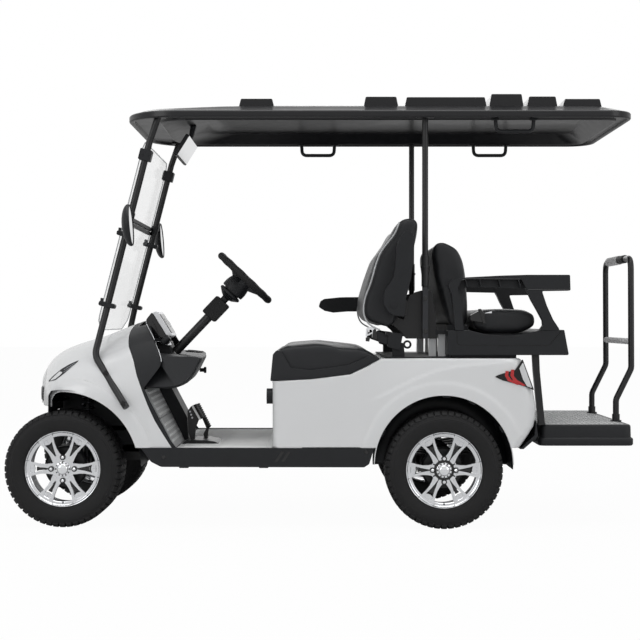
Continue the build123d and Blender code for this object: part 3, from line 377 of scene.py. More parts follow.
AXES = {            # plane: how (u, v, depth) becomes (x, y, z)
    "XZ": lambda u, v, d: Vector((u, d, v)),
    "YZ": lambda u, v, d: Vector((d, u, v)),
    "XY": lambda u, v, d: Vector((u, v, d)),
}


def slab(outline, low, high, plane="XZ"):
    """A closed outline given thickness from low to high, square to its plane."""
    bm = bmesh.new()
    place = AXES[plane]
    bottom = [bm.verts.new(place(p[0], p[1], low)) for p in outline]
    top = [bm.verts.new(place(p[0], p[1], high)) for p in outline]
    bm.faces.new(bottom)
    bm.faces.new(top)
    for i in range(len(bottom)):
        j = (i + 1) % len(bottom)
        bm.faces.new((bottom[i], bottom[j], top[j], top[i]))
    return bm


def rect(u0, v0, u1, v1):
    return [(u0, v0), (u1, v0), (u1, v1), (u0, v1)]


def blank(outline, radius, steps, low, high, plane="XZ"):
    """A slab with rounded corners."""
    return slab(rounded(outline, radius, steps), low, high, plane)


def box_mesh(low, high):
    return slab(rect(low[0], low[1], high[0], high[1]), low[2], high[2], "XY")


def skin(rows, closed=False, caps=False):
    """A grid over rows of points. closed joins each row's end to its start."""
    bm = bmesh.new()
    grid = [[bm.verts.new(p) for p in row] for row in rows]
    count = len(grid[0])
    for a, b in zip(grid, grid[1:]):
        for i in range(count if closed else count - 1):
            j = (i + 1) % count
            bm.faces.new((a[i], a[j], b[j], b[i]))
    if caps:
        bm.faces.new(grid[0])
        bm.faces.new(grid[-1])
    return bm


def turned(profile, steps=48, closed=False):
    """A profile of (radius, y) turned about the Y axis through the origin."""
    rows = []
    for i in range(steps):
        a = 2 * math.pi * i / steps
        rows.append([Vector((r * math.cos(a), y, r * math.sin(a))) for r, y in profile])
    rows.append(rows[0])
    bm = skin(rows, closed)
    bmesh.ops.remove_doubles(bm, verts=bm.verts, dist=1e-6)
    return bm


def smooth_path(points, bend, steps=8):
    """Points along straight runs whose corners are rounded by bend."""
    points = [Vector(p) for p in points]
    made = [points[0]]
    for before, corner, after in zip(points, points[1:], points[2:]):
        made += arc_corner(before, corner, after, bend, steps)
    return made + [points[-1]]


def tube(points, radius, sides=16, closed=False):
    """A round tube along points; radius may be one number or one for each point."""
    points = [Vector(p) for p in points]
    radii = radius if isinstance(radius, (list, tuple)) else [radius] * len(points)
    count = len(points)
    rows = []
    last = None
    for i, point in enumerate(points):
        if closed:
            along = points[(i + 1) % count] - points[i - 1]
        else:
            along = points[min(i + 1, count - 1)] - points[max(i - 1, 0)]
        along.normalize()
        if last is None:
            side = along.orthogonal().normalized()
        else:
            side = (last - along * last.dot(along)).normalized()
        last = side
        other = along.cross(side)
        ring = []
        for k in range(sides):
            a = 2 * math.pi * k / sides
            ring.append(point + (side * math.cos(a) + other * math.sin(a)) * radii[i])
        rows.append(ring)
    if closed:
        rows.append(rows[0])
        bm = skin(rows, True)
        bmesh.ops.remove_doubles(bm, verts=bm.verts, dist=1e-6)
        return bm
    return skin(rows, True, True)


def cylinder(start, end, radius, sides=24):
    return tube([start, end], radius, sides)


def rod(x, z, y0, y1, radius, sides=24):
    """A cylinder that lies across the cart."""
    return cylinder((x, y0, z), (x, y1, z), radius, sides)


def circle(place, count):
    """Points round a circle; place(cosine, sine) puts each one."""
    turns = [2 * math.pi * i / count for i in range(count)]
    return [Vector(place(math.cos(a), math.sin(a))) for a in turns]


def moved(bm, matrix):
    bmesh.ops.transform(bm, matrix=matrix, verts=bm.verts)
    return bm


def merge(parts):
    """Several bmeshes as one."""
    whole = bmesh.new()
    for part in parts:
        mesh = bpy.data.meshes.new("part")
        part.to_mesh(mesh)
        part.free()
        whole.from_mesh(mesh)
        bpy.data.meshes.remove(mesh)
    return whole


def copied(bm, matrices):
    """Copies of a bmesh, one for each matrix."""
    mesh = bpy.data.meshes.new("copy")
    bm.to_mesh(mesh)
    bm.free()
    whole = bmesh.new()
    for matrix in matrices:
        start = len(whole.verts)
        whole.from_mesh(mesh)
        whole.verts.ensure_lookup_table()
        bmesh.ops.transform(whole, matrix=matrix, verts=whole.verts[start:])
    bpy.data.meshes.remove(mesh)
    return whole


FLIP_Y = Matrix.Diagonal((1, -1, 1, 1))


def both(bm):
    """The bmesh and its mirror image across the cart's middle."""
    return copied(bm, [Matrix.Identity(4), FLIP_Y])


def soften(obj, width, segments, degrees):
    """Bevels an object's sharp edges."""
    edge = obj.modifiers.new("bevel", "BEVEL")
    edge.width = width
    edge.segments = segments
    edge.limit_method = "ANGLE"
    edge.angle_limit = math.radians(degrees)
    edge.harden_normals = True


def added(name, bm):
    """A bmesh as an object of the scene, with its faces looking outwards."""
    bmesh.ops.recalc_face_normals(bm, faces=bm.faces)
    mesh = bpy.data.meshes.new(name)
    bm.to_mesh(mesh)
    bm.free()
    obj = bpy.data.objects.new(name, mesh)
    bpy.context.scene.collection.objects.link(obj)
    return obj


def piece(name, bm, material, replaces=(), body="chassis", sharp=38, bevel=0.0, segments=2):
    """Names a bmesh, gives it a finish and lets it ride on a body."""
    obj = added(name, bm)
    materials = material if isinstance(material, (list, tuple)) else [material]
    for one in materials:
        obj.data.materials.append(one)
    obj.data.shade_smooth()
    obj.data.set_sharp_from_angle(angle=math.radians(sharp))
    if bevel:
        soften(obj, bevel, segments, 35)
    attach(obj, body)
    if replaces:
        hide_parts(*replaces)
    return obj


def paint(bm, index):
    """Gives all faces one of the piece's finishes."""
    for face in bm.faces:
        face.material_index = index
    return bm


def dress(node, material, bevel=0.0):
    """Gives a CAD node its finish, and softens its edges."""
    obj = NODES[node]
    obj.data.materials.clear()
    obj.data.materials.append(material)
    if bevel:
        soften(obj, bevel, 2, 40)


print("helpers ready")

# %% [markdown]
# A tyre is a turned carcass with blocks of tread on it. The carcass profile is written as
# pairs of radius and distance from the middle, from the bead over the sidewall to the tread's
# floor. The blocks are one short wedge for each row, copied round the axle, with a small
# bevel so that each edge catches light.

# %% Tyre carcass and tread
LUGS = 52
SIDEWALL = mm([(166.8, 86), (168, 90.5), (171.2, 93.5), (172.2, 96.2), (175, 97.5), (179, 97.8), (180, 99.2),
    (188, 101.6), (199, 103.8), (210, 104.6), (218, 104.5), (219, 103.6), (221, 103.6), (222, 104),
    (227, 102.6), (228, 101.6), (230, 101.4), (233, 100.4), (239, 96.6), (245, 90), (248.5, 79), (249.5, 60),
    (250, 30), (250.2, 0)])


def wedge(section, half_angle, skew=0.0):
    """A block of tread: its cross-section of (radius, y), swept a little about the axle."""
    rows = []
    for share in (-1, 0, 1):
        ring = []
        for r, y in section:
            a = share * half_angle + skew * y
            ring.append(Vector((r * math.sin(a), y, r * math.cos(a))))
        rows.append(ring)
    return skin(rows, True, True)


def round_axle(count, offset=0.0):
    return [Matrix.Rotation(2 * math.pi * (i + offset) / count, 4, "Y") for i in range(count)]


def make_tyre_mesh():
    half = SIDEWALL + [(r, -y) for r, y in SIDEWALL[-2::-1]]
    carcass = turned(half, 128)
    shoulder = mm([(234.5, 98.5), (242.5, 100), (253, 91.5), (256.6, 80), (256.8, 64), (248, 62), (244, 86)])
    block = mm([(248, 56), (256.9, 55), (257, 27), (248, 25)])
    middle = mm([(248, 18), (257, 17.5), (257, -17.5), (248, -18)])
    lugs = copied(wedge(shoulder, 0.046), round_axle(LUGS))
    blocks = copied(wedge(block, 0.048, 2.2), round_axle(LUGS, 0.35))
    ribs = copied(wedge(middle, 0.05, -1.6), round_axle(LUGS, 0.1))
    sided = copied(merge([lugs, blocks]), [Matrix.Identity(4), Matrix.Rotation(math.pi, 4, "Z")])
    return merge([carcass, sided, ribs])


WHEELS = {          # where the middle of each wheel is
    "front_left": (-1.1525, -0.435, 0.257),
    "front_right": (-1.1525, 0.435, 0.257),
    "rear_left": (0.5175, -0.49, 0.257),
    "rear_right": (0.5175, 0.49, 0.257),
}


def wheel_place(middle):
    """Puts a wheel in its place, its face outwards: one on the right is turned about."""
    return Matrix.Translation(middle) @ Matrix.Rotation(math.pi if middle[1] > 0 else 0.0, 4, "Z")


for side, middle in WHEELS.items():
    piece("tyre_tread_" + side, moved(make_tyre_mesh(), wheel_place(middle)), TYRE, ["tyre_" + side],
        bevel=0.0011, segments=1, sharp=50, body="wheel_" + side)
print("four tyres,", LUGS, "lugs a side")

# %% [markdown]
# The wheels are cast alloy, with six forked spokes, a turned lip and a bright face. Each arm
# of a fork is a slab whose outline widens where it meets the rim, so twelve arms, a scalloped
# hub and a lathe-turned barrel make the casting. The rear pair has black paint left on the
# hub between machined lines, so a wheel carries several finishes.

# %% Cast wheels
SPOKE_Y = -0.08
WHEEL_FINISHES = [ALLOY, GLOSS_BLACK, CHROME, POWDER_BLACK]
SILVER, DARK, BRIGHT, BLACK = range(4)
BARREL = mm([(156, -80), (160, -83), (162.5, -87.2), (165.2, -88.2), (166.7, -87), (166.7, -78), (166, -70),
    (162, -60), (160, 50), (164, 70), (166.4, 87), (162.5, 86), (157, 69), (154.5, 50), (154.5, -56),
    (153, -68), (150, -74.5), (150.5, -77.5)])


def polar(radius, degrees):
    a = math.radians(degrees)
    return Vector((radius * math.cos(a), radius * math.sin(a)))


def spoke_arm(turn, side):
    """One arm of a fork, from the hub to the rim."""
    inner = [(0.046, 1), (0.07, 3.0), (0.095, 5.0), (0.116, 6.6), (0.132, 8.2), (0.14, 6.0), (0.153, 4.5)]
    outer = [(0.153, 13.2), (0.14, 12.8), (0.12, 12.2), (0.095, 12.8), (0.074, 17.0), (0.056, 26.0),
        (0.046, 28)]
    return [polar(r, turn + side * a) for r, a in inner + outer]


def hub_outline():
    """A hub with six lobes, one towards each fork."""
    lobes = [0.5 + 0.5 * math.cos(math.radians(15 * i)) for i in range(144)]
    return [polar(0.052 + 0.012 * lobe, 2.5 * i) for i, lobe in enumerate(lobes)]


def make_casting(two_tone):
    face = DARK if two_tone else SILVER
    parts = []
    for k in range(6):
        for side in (1, -1):
            arm = blank(spoke_arm(60 * k, side), 0.006, 3, SPOKE_Y, SPOKE_Y + 0.018)
            web = slab([polar(r, 60 * k + side * a) for r, a in ((0.122, 0), (0.152, 0), (0.152, 8),
                (0.128, 8))], SPOKE_Y + 0.006, SPOKE_Y + 0.014)
            parts += [arm, web]
    spokes = merge(parts)
    barrel = turned(BARREL, 120, True)
    ring = turned(mm([(156.5, -79), (156.5, -70), (144, -69), (144, -76.5), (147, -79)]), 120, True)
    hub = slab(hub_outline(), SPOKE_Y + 0.001, SPOKE_Y + 0.02)
    disc = turned(rect(0.0001, -0.062, 0.046, 0.033), 48)
    drum = turned(mm([(12, -12), (86, -12), (95, -4), (95, 33), (12, 33)]), 64)
    paint(hub, face)
    paint(disc, BLACK)
    paint(drum, BLACK)
    return merge([spokes, barrel, ring, hub, disc, drum])


def make_trim_rings(two_tone):
    """Slots and machined lines that stand out from the casting's face."""
    parts = []
    for k in range(6):
        slot_mesh = blank([polar(r, 60 * k + a) for r, a in ((0.062, 2.2), (0.104, 3.6), (0.116, 5.0),
            (0.116, -5.0), (0.104, -3.6), (0.062, -2.2))], 0.003, 3, SPOKE_Y + 0.004, SPOKE_Y + 0.017)
        parts.append(slot_mesh)
        for side in (1, -1):
            seam = slab([polar(r, 60 * k + side * a) for r, a in ((0.1535, 13.0), (0.1655, 13.3),
                (0.1655, 13.9), (0.1535, 13.6))], -0.0889, -0.078)
            parts.append(seam)
    dark = merge(parts)
    paint(dark, DARK)
    if not two_tone:
        return dark
    lines = []
    for k in range(6):
        arc = [polar(0.0665 - 0.01 * math.cos(math.radians(t * 3)) * 0.9, 60 * k + 30 + t)
            for t in range(-22, 23, 4)]
        lines.append(tube([Vector((p.x, SPOKE_Y - 0.0005, p.y)) for p in arc], 0.0012, 6))
        lip = [polar(0.0555, 60 * k + 30 + t) for t in range(-14, 15, 4)]
        lines.append(tube([Vector((p.x, SPOKE_Y - 0.0005, p.y)) for p in lip], 0.001, 6))
    bright = merge(lines)
    paint(bright, SILVER)
    return merge([dark, bright])


def make_cap_and_nuts():
    cap = turned(mm([(0.1, -100), (12, -99.3), (19.5, -97), (23.5, -93), (25, -88.5), (30, -88), (33, -86),
        (34.5, -80), (34.5, -70)]), 64)
    teeth = []
    for k in range(12):
        a = 30 * k
        teeth.append(slab([polar(r, a + t) for r, t in ((0.0262, -7), (0.0322, -6), (0.0322, 6), (0.0262, 7))],
            -0.0884, -0.086))
    notches = merge(teeth)
    paint(notches, DARK)
    nut = turned(mm([(0.1, -95.5), (3.6, -95.3), (7.2, -93), (8.2, -90.5), (8.8, -80)]), 6)
    seat = turned(mm([(8.8, -89.3), (11.2, -89.3), (12.4, -88.4), (12.6, -80)]), 28)
    paint(cap, BRIGHT)
    paint(nut, BRIGHT)
    paint(seat, DARK)
    nuts = copied(moved(merge([nut, seat]), Matrix.Translation((0.0508, 0, 0))), round_axle(4))
    valve = cylinder((0, -0.081, -0.149), (0, -0.07, -0.147), 0.004, 12)
    paint(valve, DARK)
    return merge([cap, notches, nuts, valve])


for side, middle in WHEELS.items():
    two_tone = side.startswith("rear")
    wheel = merge([make_casting(two_tone), make_trim_rings(two_tone), make_cap_and_nuts()])
    piece("wheel_" + side, moved(wheel, wheel_place(middle)), WHEEL_FINISHES, ["rim_" + side],
        bevel=0.0012, sharp=32, body="wheel_" + side)
print("four cast wheels")

# %% [markdown]
# The body panels are skins. Each is a fine grid over cross-sections taken along the cart, so
# that the hood swells smoothly and still keeps one crease. The grid is then trimmed in side
# view, as a moulder trims a sheet: carve() takes away a convex patch, and trim() takes away
# all that lies to one side of a line. Last, a Solidify modifier gives the sheet its wall.

# %% Trimming a sheet in side view
def cut(bm, faces, start, end):
    """Splits faces along a line of the side view, (x, z), and returns those on one side."""
    base = Vector((start[0], 0, start[1]))
    normal = Vector((end[1] - start[1], 0, start[0] - end[0])).normalized()
    geometry = set(faces)
    for face in faces:
        geometry.update(face.edges)
        geometry.update(face.verts)
    result = bmesh.ops.bisect_plane(bm, geom=list(geometry), dist=1e-6, plane_co=base, plane_no=normal)
    split = [g for g in result["geom"] if isinstance(g, bmesh.types.BMFace)]
    return [f for f in split if (f.calc_center_median() - base).dot(normal) < 0]


def carve(bm, outline):
    """Takes away what lies inside a convex outline of (x, z), given clockwise or not."""
    area = sum(a[0] * b[1] - b[0] * a[1] for a, b in zip(outline, outline[1:] + outline[:1]))
    ring = outline if area > 0 else outline[::-1]
    inside = list(bm.faces)
    for start, end in zip(ring, ring[1:] + ring[:1]):
        inside = cut(bm, inside, start, end)
        if not inside:
            return bm
    bmesh.ops.delete(bm, geom=inside, context="FACES")
    return bm


def trim(bm, line, far_x):
    """Takes away what lies between a line of (x, z) and an upright far away at far_x."""
    for start, end in zip(line, line[1:]):
        if abs(start[1] - end[1]) > 1e-6:
            carve(bm, [start, end, (far_x, end[1]), (far_x, start[1])])
    return bm


def curve_through(points, count):
    """Points on a smooth curve that passes through every given point."""
    points = [Vector(p) for p in points]
    ends = [points[0] * 2 - points[1]] + points + [points[-1] * 2 - points[-2]]
    made = []
    for i in range(count + 1):
        t = i / count * (len(points) - 1)
        k = min(int(t), len(points) - 2)
        t -= k
        a, b, c, d = ends[k:k + 4]
        made.append(0.5 * (2 * b + (c - a) * t + (2 * a - 5 * b + 4 * c - d) * t * t
            + (3 * b - a - 3 * c + d) * t ** 3))
    return made


def ease(low, high, value):
    """0 below low, 1 above high, and smooth between."""
    t = min(max((value - low) / (high - low), 0.0), 1.0)
    return t * t * (3 - 2 * t)


def arc_points(centre, radius, start, end, count):
    made = []
    for i in range(count + 1):
        a = math.radians(start + (end - start) * i / count)
        made.append((centre[0] + radius * math.cos(a), centre[1] + radius * math.sin(a)))
    return made


def shell(obj, thickness):
    """Gives a sheet its wall, inwards."""
    wall = obj.modifiers.new("wall", "SOLIDIFY")
    wall.thickness = thickness
    wall.offset = -1.0


print("trimming tools ready")

# %% [markdown]
# The front cowl is one moulding, from the nose back to the dash. Its sections are kept in a
# short table: how high the hood is, where its shoulder crease runs, and how wide the side is.
# A smooth curve through the rows gives a section anywhere. Round the wheel arch, the skin
# swells by a few millimetres inside a ring, which makes the flare's soft line.

# %% Front cowl
FRONT_AXLE = (-1.1525, 0.257)
COWL = mm([            # mm: x, top z, shoulder y, shoulder z, side y
    (-1343, 634, 1, 604, 1), (-1340, 646, 30, 606, 36),
    (-1327, 672, 66, 612, 80), (-1311, 695, 125, 620, 150),
    (-1290, 720, 215, 632, 250), (-1268, 740, 300, 646, 350),
    (-1248, 755, 352, 660, 415), (-1228, 768, 385, 672, 462),
    (-1205, 780, 408, 686, 498), (-1150, 802, 436, 713, 530),
    (-1018, 843, 450, 757, 546), (-930, 878, 458, 782, 552),
    (-850, 909, 470, 802, 556), (-760, 934, 474, 822, 557),
    (-630, 955, 480, 842, 558),
])
COWL_STATIONS = 112
BELT_Z = 0.55           # where the cowl's side starts to draw in
SILL_Z = 0.353
COWL_REAR = mm([(-883, 1200), (-883, 863), (-880, 838), (-870, 795), (-852, 756), (-842, 732), (-826, 672),
    (-798, 597), (-773, 533), (-745, 472), (-709, 412), (-671, 353)])


def cowl_section(row):
    """Half a section from the sill to the middle of the hood, as (y, z)."""
    top, shoulder_y, shoulder_z, side = row
    foot, belt = Vector((side - 0.004, 0.34)), Vector((side, BELT_Z))
    shoulder, crown = Vector((shoulder_y, shoulder_z)), Vector((0.0, top))
    lower = [foot + (belt - foot) * i / 14 for i in range(14)]
    bulge = Vector((side + 0.002, shoulder_z - 0.42 * (shoulder_z - BELT_Z)))
    upper = bend(belt, bulge, shoulder, 14)[:-1]
    rise = Vector((0.74 * shoulder_y, shoulder_z + 0.98 * (top - shoulder_z)))
    return lower + upper + bend(shoulder, rise, crown, 18)


def flare(x, z, axle, ring, width, swell):
    reach = math.hypot(x - axle[0], z - axle[1])
    return swell * ease(ring + width, ring, reach)


def cowl_rows():
    """Sections of half the cowl, each from the sill to the middle of the hood."""
    shapes = curve_through([Vector(row[1:4]) for row in COWL], COWL_STATIONS)
    places = curve_through([Vector((row[0], row[4], 0)) for row in COWL], COWL_STATIONS)
    made = []
    for shape, place in zip(shapes, places):
        x, side = place.x, max(place.y, 0.0005)
        ring = []
        for y, z in cowl_section((shape.x, max(shape.y, 0.0004), shape.z, side)):
            swell = flare(x, z, FRONT_AXLE, 0.388, 0.012, 0.006) * ease(-1.15, -1.04, x)
            ring.append(Vector((x, y + swell * ease(0.3, 0.5, y), z)))
        made.append(ring)
    return made


COWL_ROWS = cowl_rows()
FRONT_ARCH = mm([(-1207, -100), (-1207, 560), (-1202, 577), (-1190, 589), (-1172, 596)])
FRONT_ARCH += arc_points(FRONT_AXLE, 0.342, 91, 16.3, 22) + [(-0.8, -0.1)]
NOSE_SILL = mm([(-1400, 522), (-1300, 526), (-1245, 535), (-1207, 541), (-1207, -100), (-1400, -100)])


def trimmed_cowl():
    bm = skin(COWL_ROWS)
    carve(bm, FRONT_ARCH)
    carve(bm, NOSE_SILL)
    carve(bm, rect(-0.9, -0.1, 0.0, SILL_Z))
    return trim(bm, COWL_REAR, -0.4)


def section_y(x, z):
    """How far out the cowl's side is at a place in side view."""
    for a, b in zip(COWL_ROWS, COWL_ROWS[1:]):
        if a[0].x <= x <= b[0].x:
            t = (x - a[0].x) / max(b[0].x - a[0].x, 1e-6)
            ring = [p + (q - p) * t for p, q in zip(a, b)][:30]
            for p, q in zip(ring, ring[1:]):
                if p.z <= z <= q.z:
                    return p.y + (q.y - p.y) * (z - p.z) / max(q.z - p.z, 1e-6)
            return ring[-1].y
    return 0.55


def arch_return(lip, depth, surface):
    """The lip of an arch, turned inwards."""
    outer = [Vector((x, surface(x, z), z)) for x, z in lip]
    return skin([outer, [p - Vector((0, depth, 0)) for p in outer]])


cowl = trimmed_cowl()
lip = arch_return(FRONT_ARCH[1:-1], 0.022, section_y)
cowl_piece = piece("cowl_skin", both(merge([cowl, lip])), BODY_WHITE, ["front_cowl"], sharp=24)
shell(cowl_piece, 0.0035)
print("cowl", len(cowl_piece.data.polygons), "faces")

# %% [markdown]
# The black side shields carry on the cowl's own surface, so they come from the same grid,
# trimmed to the band behind it. They are a shade narrower, so a shadow line shows between
# the white moulding and the black one.

# %% Side shields
SHIELD_REAR = mm([(-800, 960), (-793, 898), (-763, 838), (-736, 784), (-721, 745), (-718.5, 728), (-724, 708),
    (-739, 686), (-765, 652), (-792, 615), (-763, 552.7), (-718.5, 468), (-674, 383), (-650, 353)])


def trimmed_shields():
    bm = skin([[p - Vector((0, 0.0015, 0.0015)) for p in row] for row in COWL_ROWS])
    carve(bm, rect(-1.6, -0.1, 0.0, SILL_Z))
    trim(bm, [(x + 0.0012, z) for x, z in COWL_REAR], -1.6)
    return trim(bm, SHIELD_REAR, -0.3)


def clip_middle(bm, half, rear):
    """Takes away the middle of the hood's top behind an upright."""
    doomed = [f for f in bm.faces if f.calc_center_median().y < half and f.calc_center_median().x > rear]
    bmesh.ops.delete(bm, geom=doomed, context="FACES")
    return bm


shields = both(clip_middle(trimmed_shields(), 0.29, -0.846))
shield_piece = piece("side_shields", shields, BLACK_PLASTIC, ["cowl_shields"], sharp=24)
shell(shield_piece, 0.004)


def make_nose_inside():
    """Black inner panels that close the nose behind the front wheels."""
    floor = []
    for row in COWL_ROWS[3:70:3]:
        ring = min(row[:20], key=lambda p: abs(p.z - BELT_Z))
        floor.append([Vector((ring.x + 0.006, y, 0.548)) for y in (-max(ring.y - 0.012, 0.001),
            max(ring.y - 0.012, 0.001))])
    walls = box_mesh((-1.275, -0.174, 0.54), (-1.225, -0.17, 0.64))
    edge = [(-1.213, 0.506), (-1.212, 0.58)] + arc_points(FRONT_AXLE, 0.347, 98, 2, 26)
    band = [[Vector((x, y, z)) for y in (-0.538, -0.4, -0.18)] for x, z in edge]
    skirt = box_mesh((-1.08, -0.172, 0.3), (-0.8, -0.168, 0.42))
    return merge([skin(floor), both(merge([walls, skirt, skin(band)]))])


def make_grille():
    """A dark bumper strip that follows the nose."""
    rows = []
    for z, out in ((0.532, -0.002), (0.536, 0.0035), (0.56, 0.0045), (0.592, 0.004), (0.6, -0.001)):
        rows.append([])
        for row in COWL_ROWS[:26]:
            near = min(row[:30], key=lambda p: abs(p.z - max(z, BELT_Z)))
            rows[-1].append(Vector((near.x - out, near.y, z)))
    return skin(rows)


piece("nose_inside", make_nose_inside(), BLACK_PLASTIC)
piece("nose_bumper", both(make_grille()), BLACK_PLASTIC)
# A thin bright alloy line along each shield's rear edge is painted highlight, laid where that edge catches the
# light.
highlight_line = [Vector((x, -section_y(x, z) - 0.0012, z)) for x, z in SHIELD_REAR[2:6]]
highlight_line = [Vector((-0.7945, -0.452, 0.905)), Vector((-0.787, -0.476, 0.888))] + highlight_line
SEAM = mm([(-1111.8, 650.9), (-1051.6, 646.2), (-984.8, 620.8), (-931.3, 586.1), (-864.4, 532.6),
    (-824.3, 490.5), (-790.9, 443.6), (-760.8, 390.2)])
seam = curve_through([Vector((x, -section_y(x, z) - 0.0002, z)) for x, z in SEAM], 60)
piece("fender_seams", both(tube(seam, 0.0011, 6)), MAT_GREY)
piece("shield_edge_highlights", both(tube(curve_through(highlight_line, 40), 0.0017, 6)), ALLOY)
print("shields done")

# %% [markdown]
# The rear body is one moulding too: the front of the seat box, both sides and the tail. Its
# skin follows a path round the cart at each height. The path's front corners are rounded,
# its tail leans with the body's side view, and two soft folds are pressed into the sides:
# one round the arch, and one that climbs to the lamp. Above that one the side leans in.

# %% Rear body
HALF = 0.56
REAR_WELL = (0.5175, 0.28)
TAIL = mm([(353, 853), (400, 886), (445, 915), (480, 923.5), (531, 925), (605, 912), (670, 888), (743, 859)])
REAR_ARCH = [(0.209, -0.1)] + arc_points(REAR_WELL, 0.305, 180, 0, 40) + [(0.826, -0.1)]
SEAT_LINE = mm([(-260, 639.5), (-232, 641), (-57, 650), (110, 671), (180, 704), (243, 738), (262, 743)])
FOLD = mm([(100, 520), (244, 575.6), (317, 614.5), (400, 653), (487.6, 687.6), (575, 707), (652.8, 714),
    (779.5, 724), (880, 733)])


def lookup(table, value, soft=False):
    """Reads a table of (place, value) rows between its rows, in lines or in soft steps."""
    for a, b in zip(table, table[1:]):
        if a[0] <= value <= b[0]:
            share = (value - a[0]) / (b[0] - a[0])
            return a[1] + (b[1] - a[1]) * (ease(0, 1, share) if soft else share)
    return table[0][1] if value < table[0][0] else table[-1][1]


def side_fold(x, z):
    """How far the side is pressed in or out, in metres."""
    ring = flare(x, z, REAR_WELL, 0.347, 0.02, 0.0045)
    fold = lookup(FOLD, x)
    above = ease(fold - 0.004, fold + 0.012, z) * ease(0.16, 0.34, x)
    lean = 0.01 * ease(fold, 0.8, z) * ease(0.16, 0.34, x)
    return ring - 0.0065 * above - lean


def body_path(z):
    """The panel's outline in plan at one height, from the front's middle to the tail's."""
    tail = lookup(TAIL, z)
    front, corner, rear_corner = -0.2305, 0.034, 0.05
    points = [(front, -0.08 * i) for i in range(7)]
    points += [(front + corner - corner * math.cos(a), -(HALF - corner) - corner * math.sin(a))
        for a in [math.radians(9 * k) for k in range(11)]]
    start, end = front + corner, tail - rear_corner
    sides = [start + (end - start) * i / 110 for i in range(1, 111)]
    points += [(x, -HALF - side_fold(x, z)) for x in sides]
    y = points[-1][1]
    points += [(tail - rear_corner + rear_corner * math.sin(a), y + rear_corner * (1 - math.cos(a)))
        for a in [math.radians(11.25 * k) for k in range(1, 9)]]
    points += [(tail, (y + rear_corner) * (1 - i / 6)) for i in range(1, 7)]
    return points


def make_rear_body():
    heights = [SILL_Z + 0.38 * i / 54 for i in range(55)]
    rows = [[Vector((x, y, z)) for x, y in body_path(z)] for z in heights]
    roll = 0.01
    for k in range(1, 6):
        a = math.radians(18 * k)
        pull = roll * (1 - math.cos(a))
        z = 0.733 + roll * math.sin(a)
        path = body_path(z)
        rows.append([Vector((x + (pull if i < 9 else -pull if i > 128 else 0), y + (pull if 7 < i < 137 else 0),
            z)) for i, (x, y) in enumerate(path)])
    bm = skin(rows)
    carve(bm, REAR_ARCH)
    for a, b in zip(SEAT_LINE, SEAT_LINE[1:]):
        carve(bm, [a, b, (b[0], 0.9), (a[0], 0.9)])
    return bm


def make_decks():
    """The ledge under the front cushion and the deck that the rear bench stands on."""
    ledge = [[Vector((x, y, z)) for y in (-0.548, 0.0)] for x, z in SEAT_LINE[1:]]
    deck = [[Vector((x, y, 0.7425)) for y in (-0.545, 0.0)] for x in (0.262, 0.4, 0.55, 0.7, 0.845)]
    return skin(ledge + deck)


lip = arch_return(REAR_ARCH[1:-1], 0.02, lambda x, z: HALF + side_fold(x, z))
lip = moved(lip, FLIP_Y)
rear = piece("rear_body_skin", both(merge([make_rear_body(), make_decks(), lip])), BODY_WHITE, ["rear_body"],
    sharp=24)
shell(rear, 0.0035)
print("rear body", len(rear.data.polygons), "faces")

# %% [markdown]
# The rocker panels are long black sills. Bolts hold them on. Near the middle, two slanted
# grooves are shown by thin slabs of darker gloss black, which paint the grooves' shade. A
# bevel on a dense outline gives a moulded edge.

# %% Rockers, arch liners and valance
ROCKER = mm([(-804, 353, 4), (-785, 326, 20), (-760, 292, 30), (-716, 270, 30), (170, 268, 10), (192, 282, 10),
    (210, 340, 4), (210, 356.5, 3), (-98, 356.5, 3), (-103, 353, 2)])


def make_rockers():
    panel = blank(ROCKER, 0.01, 5, -0.56, -0.542)
    ledge = box_mesh((-0.66, -0.545, 0.3445), (-0.238, -0.528, 0.3505))
    seam = slab(mm([(-652, 350), (-648, 350), (-626, 296), (-630, 296)]), -0.5603, -0.559)
    return merge([panel, ledge, seam])


def make_rocker_bolts():
    bolts = []
    for x, z in ((-0.704, 0.313), (0.1795, 0.335)):
        bolts.append(rod(x, z, -0.5625, -0.5595, 0.0085, 20))
        bolts.append(rod(x, z, -0.5645, -0.562, 0.0052, 6))
    return merge(bolts)


# Thin slabs of darker gloss black laid on the sill: painted shade of two pressed grooves.
def make_rocker_slot_shade():
    slot_shades = []
    for x in (-0.222, -0.193):
        line = [(x, 0.292), (x + 0.03, 0.338), (x + 0.044, 0.338), (x + 0.014, 0.292)]
        slot_shades.append(blank(line, 0.003, 2, -0.5606, -0.559))
    return merge(slot_shades)


piece("rocker_skins", both(make_rockers()), BLACK_PLASTIC, ["rocker_panels"], bevel=0.003, segments=3)
piece("rocker_bolts", both(make_rocker_bolts()), GLOSS_BLACK, bevel=0.0008)
piece("rocker_slot_shade", both(make_rocker_slot_shade()), GLOSS_BLACK)


def make_arch_liner():
    """Ribbed black well over a rear wheel."""
    rows = []
    for x, z in arc_points(REAR_WELL, 0.3035, -4, 171, 60):
        rows.append([Vector((x, y, z)) for y in (-0.5535, -0.5, -0.44, -0.39, -0.352)])
    wall = []
    for r in (0.3035, 0.25, 0.2):
        wall.append([Vector((x, -0.352, z)) for x, z in arc_points(REAR_WELL, r, -4, 184, 60)])
    ribs = []
    for angle in (28, 62, 84, 118, 150):
        a, b = arc_points(REAR_WELL, 0.303, angle, angle + 6, 1)
        c, d = arc_points(REAR_WELL, 0.292, angle + 6, angle, 1)
        ribs.append(slab([a, b, c, d], -0.545, -0.353))
    return merge([skin(rows), skin(wall)] + ribs)


liner = piece("rear_arch_liners", both(make_arch_liner()), BLACK_PLASTIC, ["rear_liners"])
shell(liner, 0.003)
dress("front_liners", BLACK_PLASTIC, 0.002)
print("rockers and liners done")

